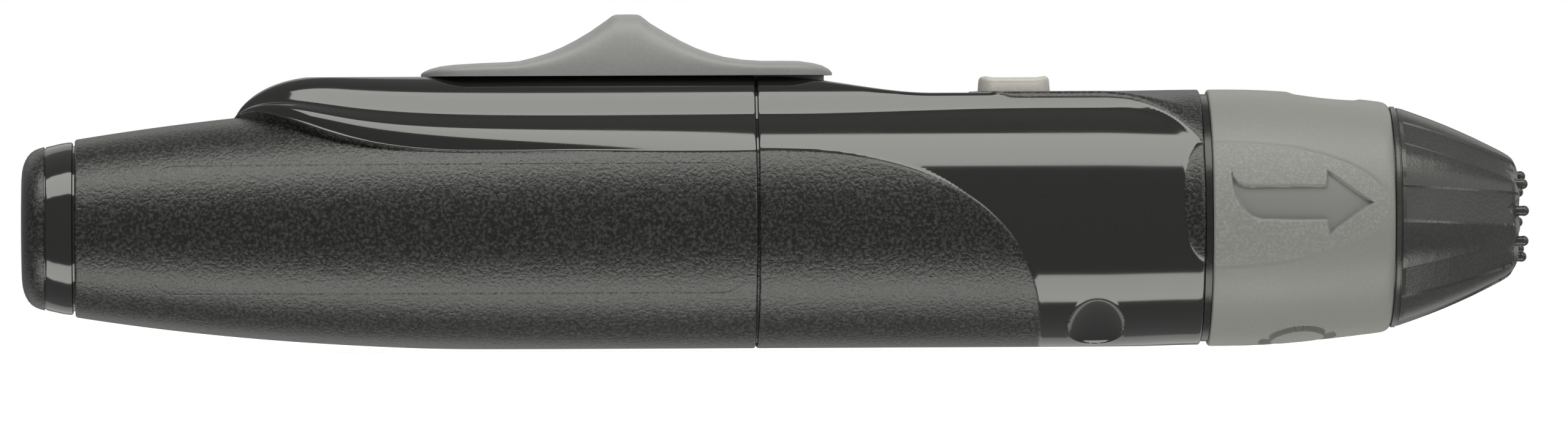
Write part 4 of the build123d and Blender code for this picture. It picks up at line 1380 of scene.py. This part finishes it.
@dataclass
class InnerWorks:
    """Pieces that stay as they come from the CAD, by their finish."""

    sleeves: tuple[str, ...] = ("cap_sleeve",)
    mouldings: tuple[str, ...] = (
        "carriage_guide", "slider_carrier", "ejector_rod", "lancet_carriage", "lancet_holder",
        "latch_lever", "depth_stop",
    )
    seals: tuple[str, ...] = ("buffer_ring", "neck_seal", "friction_washer")
    springs: tuple[str, ...] = (
        "latch_pin", "drive_spring", "return_spring", "latch_spring", "nose_clip",
    )

    def dress(self) -> None:
        """Give each inner piece its finish, and log the slot that it belongs in."""
        for names, slot, finish in (
            (self.sleeves, Slot.SLEEVE, SLEEVE),
            (self.mouldings, Slot.INNER, INNER),
            (self.seals, Slot.SEAL, SEAL),
            (self.springs, Slot.SPRING, SPRING),
        ):
            material = finish.material()
            for name in names:
                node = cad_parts[name]
                node.data.materials.clear()
                node.data.materials.append(material)
                LOG.info("%s: dressed as %s", name, slot.value)


@dataclass(frozen=True)
class Strip:
    """Soft strip light that is aimed at the device."""

    name: str
    elevation: float
    bearing: float
    radiance: float
    distance: float = 0.4
    width: float = 0.2
    length: float = 0.7
    colour: Colour = (1.0, 1.0, 0.94)

    def build(self) -> None:
        """Hang the light and aim it at the barrel."""
        lamp = bpy.data.lights.new(self.name, "AREA")
        lamp.color = self.colour
        lamp.shape = "RECTANGLE"
        lamp.size, lamp.size_y = self.length, self.width
        lamp.energy = self.radiance * math.pi * self.length * self.width
        holder = bpy.data.objects.new(self.name, lamp)
        tilt, turn = math.radians(self.elevation), math.radians(self.bearing)
        level = math.cos(tilt)
        away = Vector((math.sin(turn) * level, -math.cos(turn) * level, math.sin(tilt)))
        across = Vector((math.cos(turn), math.sin(turn), 0.0))
        holder.location = Vector((0.0, 0.0, AXIS_HEIGHT * MM)) + away * self.distance
        axes = Matrix((across, away.cross(across), away)).transposed()
        holder.rotation_euler = axes.to_euler()
        bpy.context.scene.collection.objects.link(holder)


@dataclass
class Studio:
    """Camera, lights, white surround and floor."""

    target: Place = (0.0007, 0.0, 0.0105)
    distance: float = 1.2
    azimuth: float = -1.9
    roll: float = 0.25
    lens: float = 360.6
    sensor: float = 36.0
    clip: Point = (0.01, 20.0)
    fill: float = 0.26
    floor_half: float = 0.6
    floor_height: float = -0.0002
    floor_glow: float = 0.93
    floor_tone: tuple[float, ...] = (0.4, 0.4, 0.4, 1.0)
    strips: tuple[Strip, ...] = (
        Strip("upper_strip", 64.0, 0.0, 3.7, width=0.24),
        Strip("lower_strip", -64.6, 0.0, 3.4),
        Strip("back_upper_strip", 35.0, 180.0, 0.5),
        Strip("back_lower_strip", -35.0, 180.0, 0.4),
        Strip("nose_card", 24.0, 60.0, 1.1, distance=0.5, width=0.26, length=0.55),
        Strip("end_card", 10.0, 125.0, 0.7, distance=0.5, width=0.3, length=0.3),
    )

    def camera(self) -> None:
        """Put the camera at the picture's viewing angle."""
        data = bpy.data.cameras.new("camera")
        data.lens, data.sensor_width = self.lens, self.sensor
        data.clip_start, data.clip_end = self.clip
        holder = bpy.data.objects.new("camera", data)
        turn = math.radians(self.azimuth)
        back = Vector((math.sin(turn), -math.cos(turn), 0.0))
        holder.location = Vector(self.target) + back * self.distance
        look = (-back).to_track_quat("-Z", "Y")
        tilt = Quaternion((0.0, 0.0, 1.0), math.radians(-self.roll))
        holder.rotation_euler = (look @ tilt).to_euler()
        bpy.context.scene.collection.objects.link(holder)
        bpy.context.scene.camera = holder

    def surround(self) -> None:
        """White to the camera, soft grey to the device."""
        board = NodeBoard(bpy.data.worlds.new("surround"))
        feeds = {"Value": board.seen(), "To Min": self.fill, "To Max": 1.0}
        level = board.add("ShaderNodeMapRange", feeds).outputs["Result"]
        white = (1.0, 1.0, 1.0, 1.0)
        board.feed(board.tree.nodes["Background"], {"Color": white, "Strength": level})
        bpy.context.scene.world = board.owner

    def floor(self) -> None:
        """Pale floor under the device, lit through like a light table."""
        half, height = self.floor_half, self.floor_height
        corners = [(-half, -half), (half, -half), (half, half), (-half, half)]
        mesh = bpy.data.meshes.new("floor")
        mesh.from_pydata([(x, y, height) for x, y in corners], [], [(0, 1, 2, 3)])
        piece = bpy.data.objects.new("floor", mesh)
        bpy.context.scene.collection.objects.link(piece)
        board = NodeBoard(bpy.data.materials.new("light_table"))
        board.tree.nodes.clear()
        glow = board.add("ShaderNodeEmission", {"Strength": self.floor_glow}).outputs[0]
        paper = board.add("ShaderNodeBsdfDiffuse", {"Color": self.floor_tone}).outputs[0]
        lit = board.add("ShaderNodeAddShader", {0: glow, 1: paper}).outputs[0]
        clear = board.add("ShaderNodeBsdfTransparent").outputs[0]
        shown = board.add("ShaderNodeMixShader", {0: board.seen(), 1: clear, 2: lit}).outputs[0]
        board.add("ShaderNodeOutputMaterial", {"Surface": shown})
        mesh.materials.append(board.owner)

    def build(self) -> None:
        """Set the whole studio."""
        bpy.context.scene.view_settings.view_transform = "Standard"
        self.camera()
        self.surround()
        self.floor()
        for strip in self.strips:
            strip.build()


def main() -> None:
    """Build the pieces in order, then the studio."""
    logging.basicConfig(level=logging.INFO, format="%(name)s: %(message)s")
    form = HousingForm()
    shell = SHELL.material()
    for moulding, material in (
        (RearBarrel(form), shell),
        (FrontBarrel(form), shell),
        (EndCap(), shell),
        (ThumbSlider(), SLIDER.material()),
        (ReleaseButton(), BUTTON.material()),
        (TwistCollar(), COLLAR.material()),
        (DepthNose(), NOSE.material()),
    ):
        piece = moulding.build(material)
        faces = len(piece.data.polygons)
        LOG.info("%s: %d faces on %s", piece.name, faces, moulding.seat.part.value)
    InnerWorks().dress()
    Studio().build()


if __name__ == "__main__":
    main()
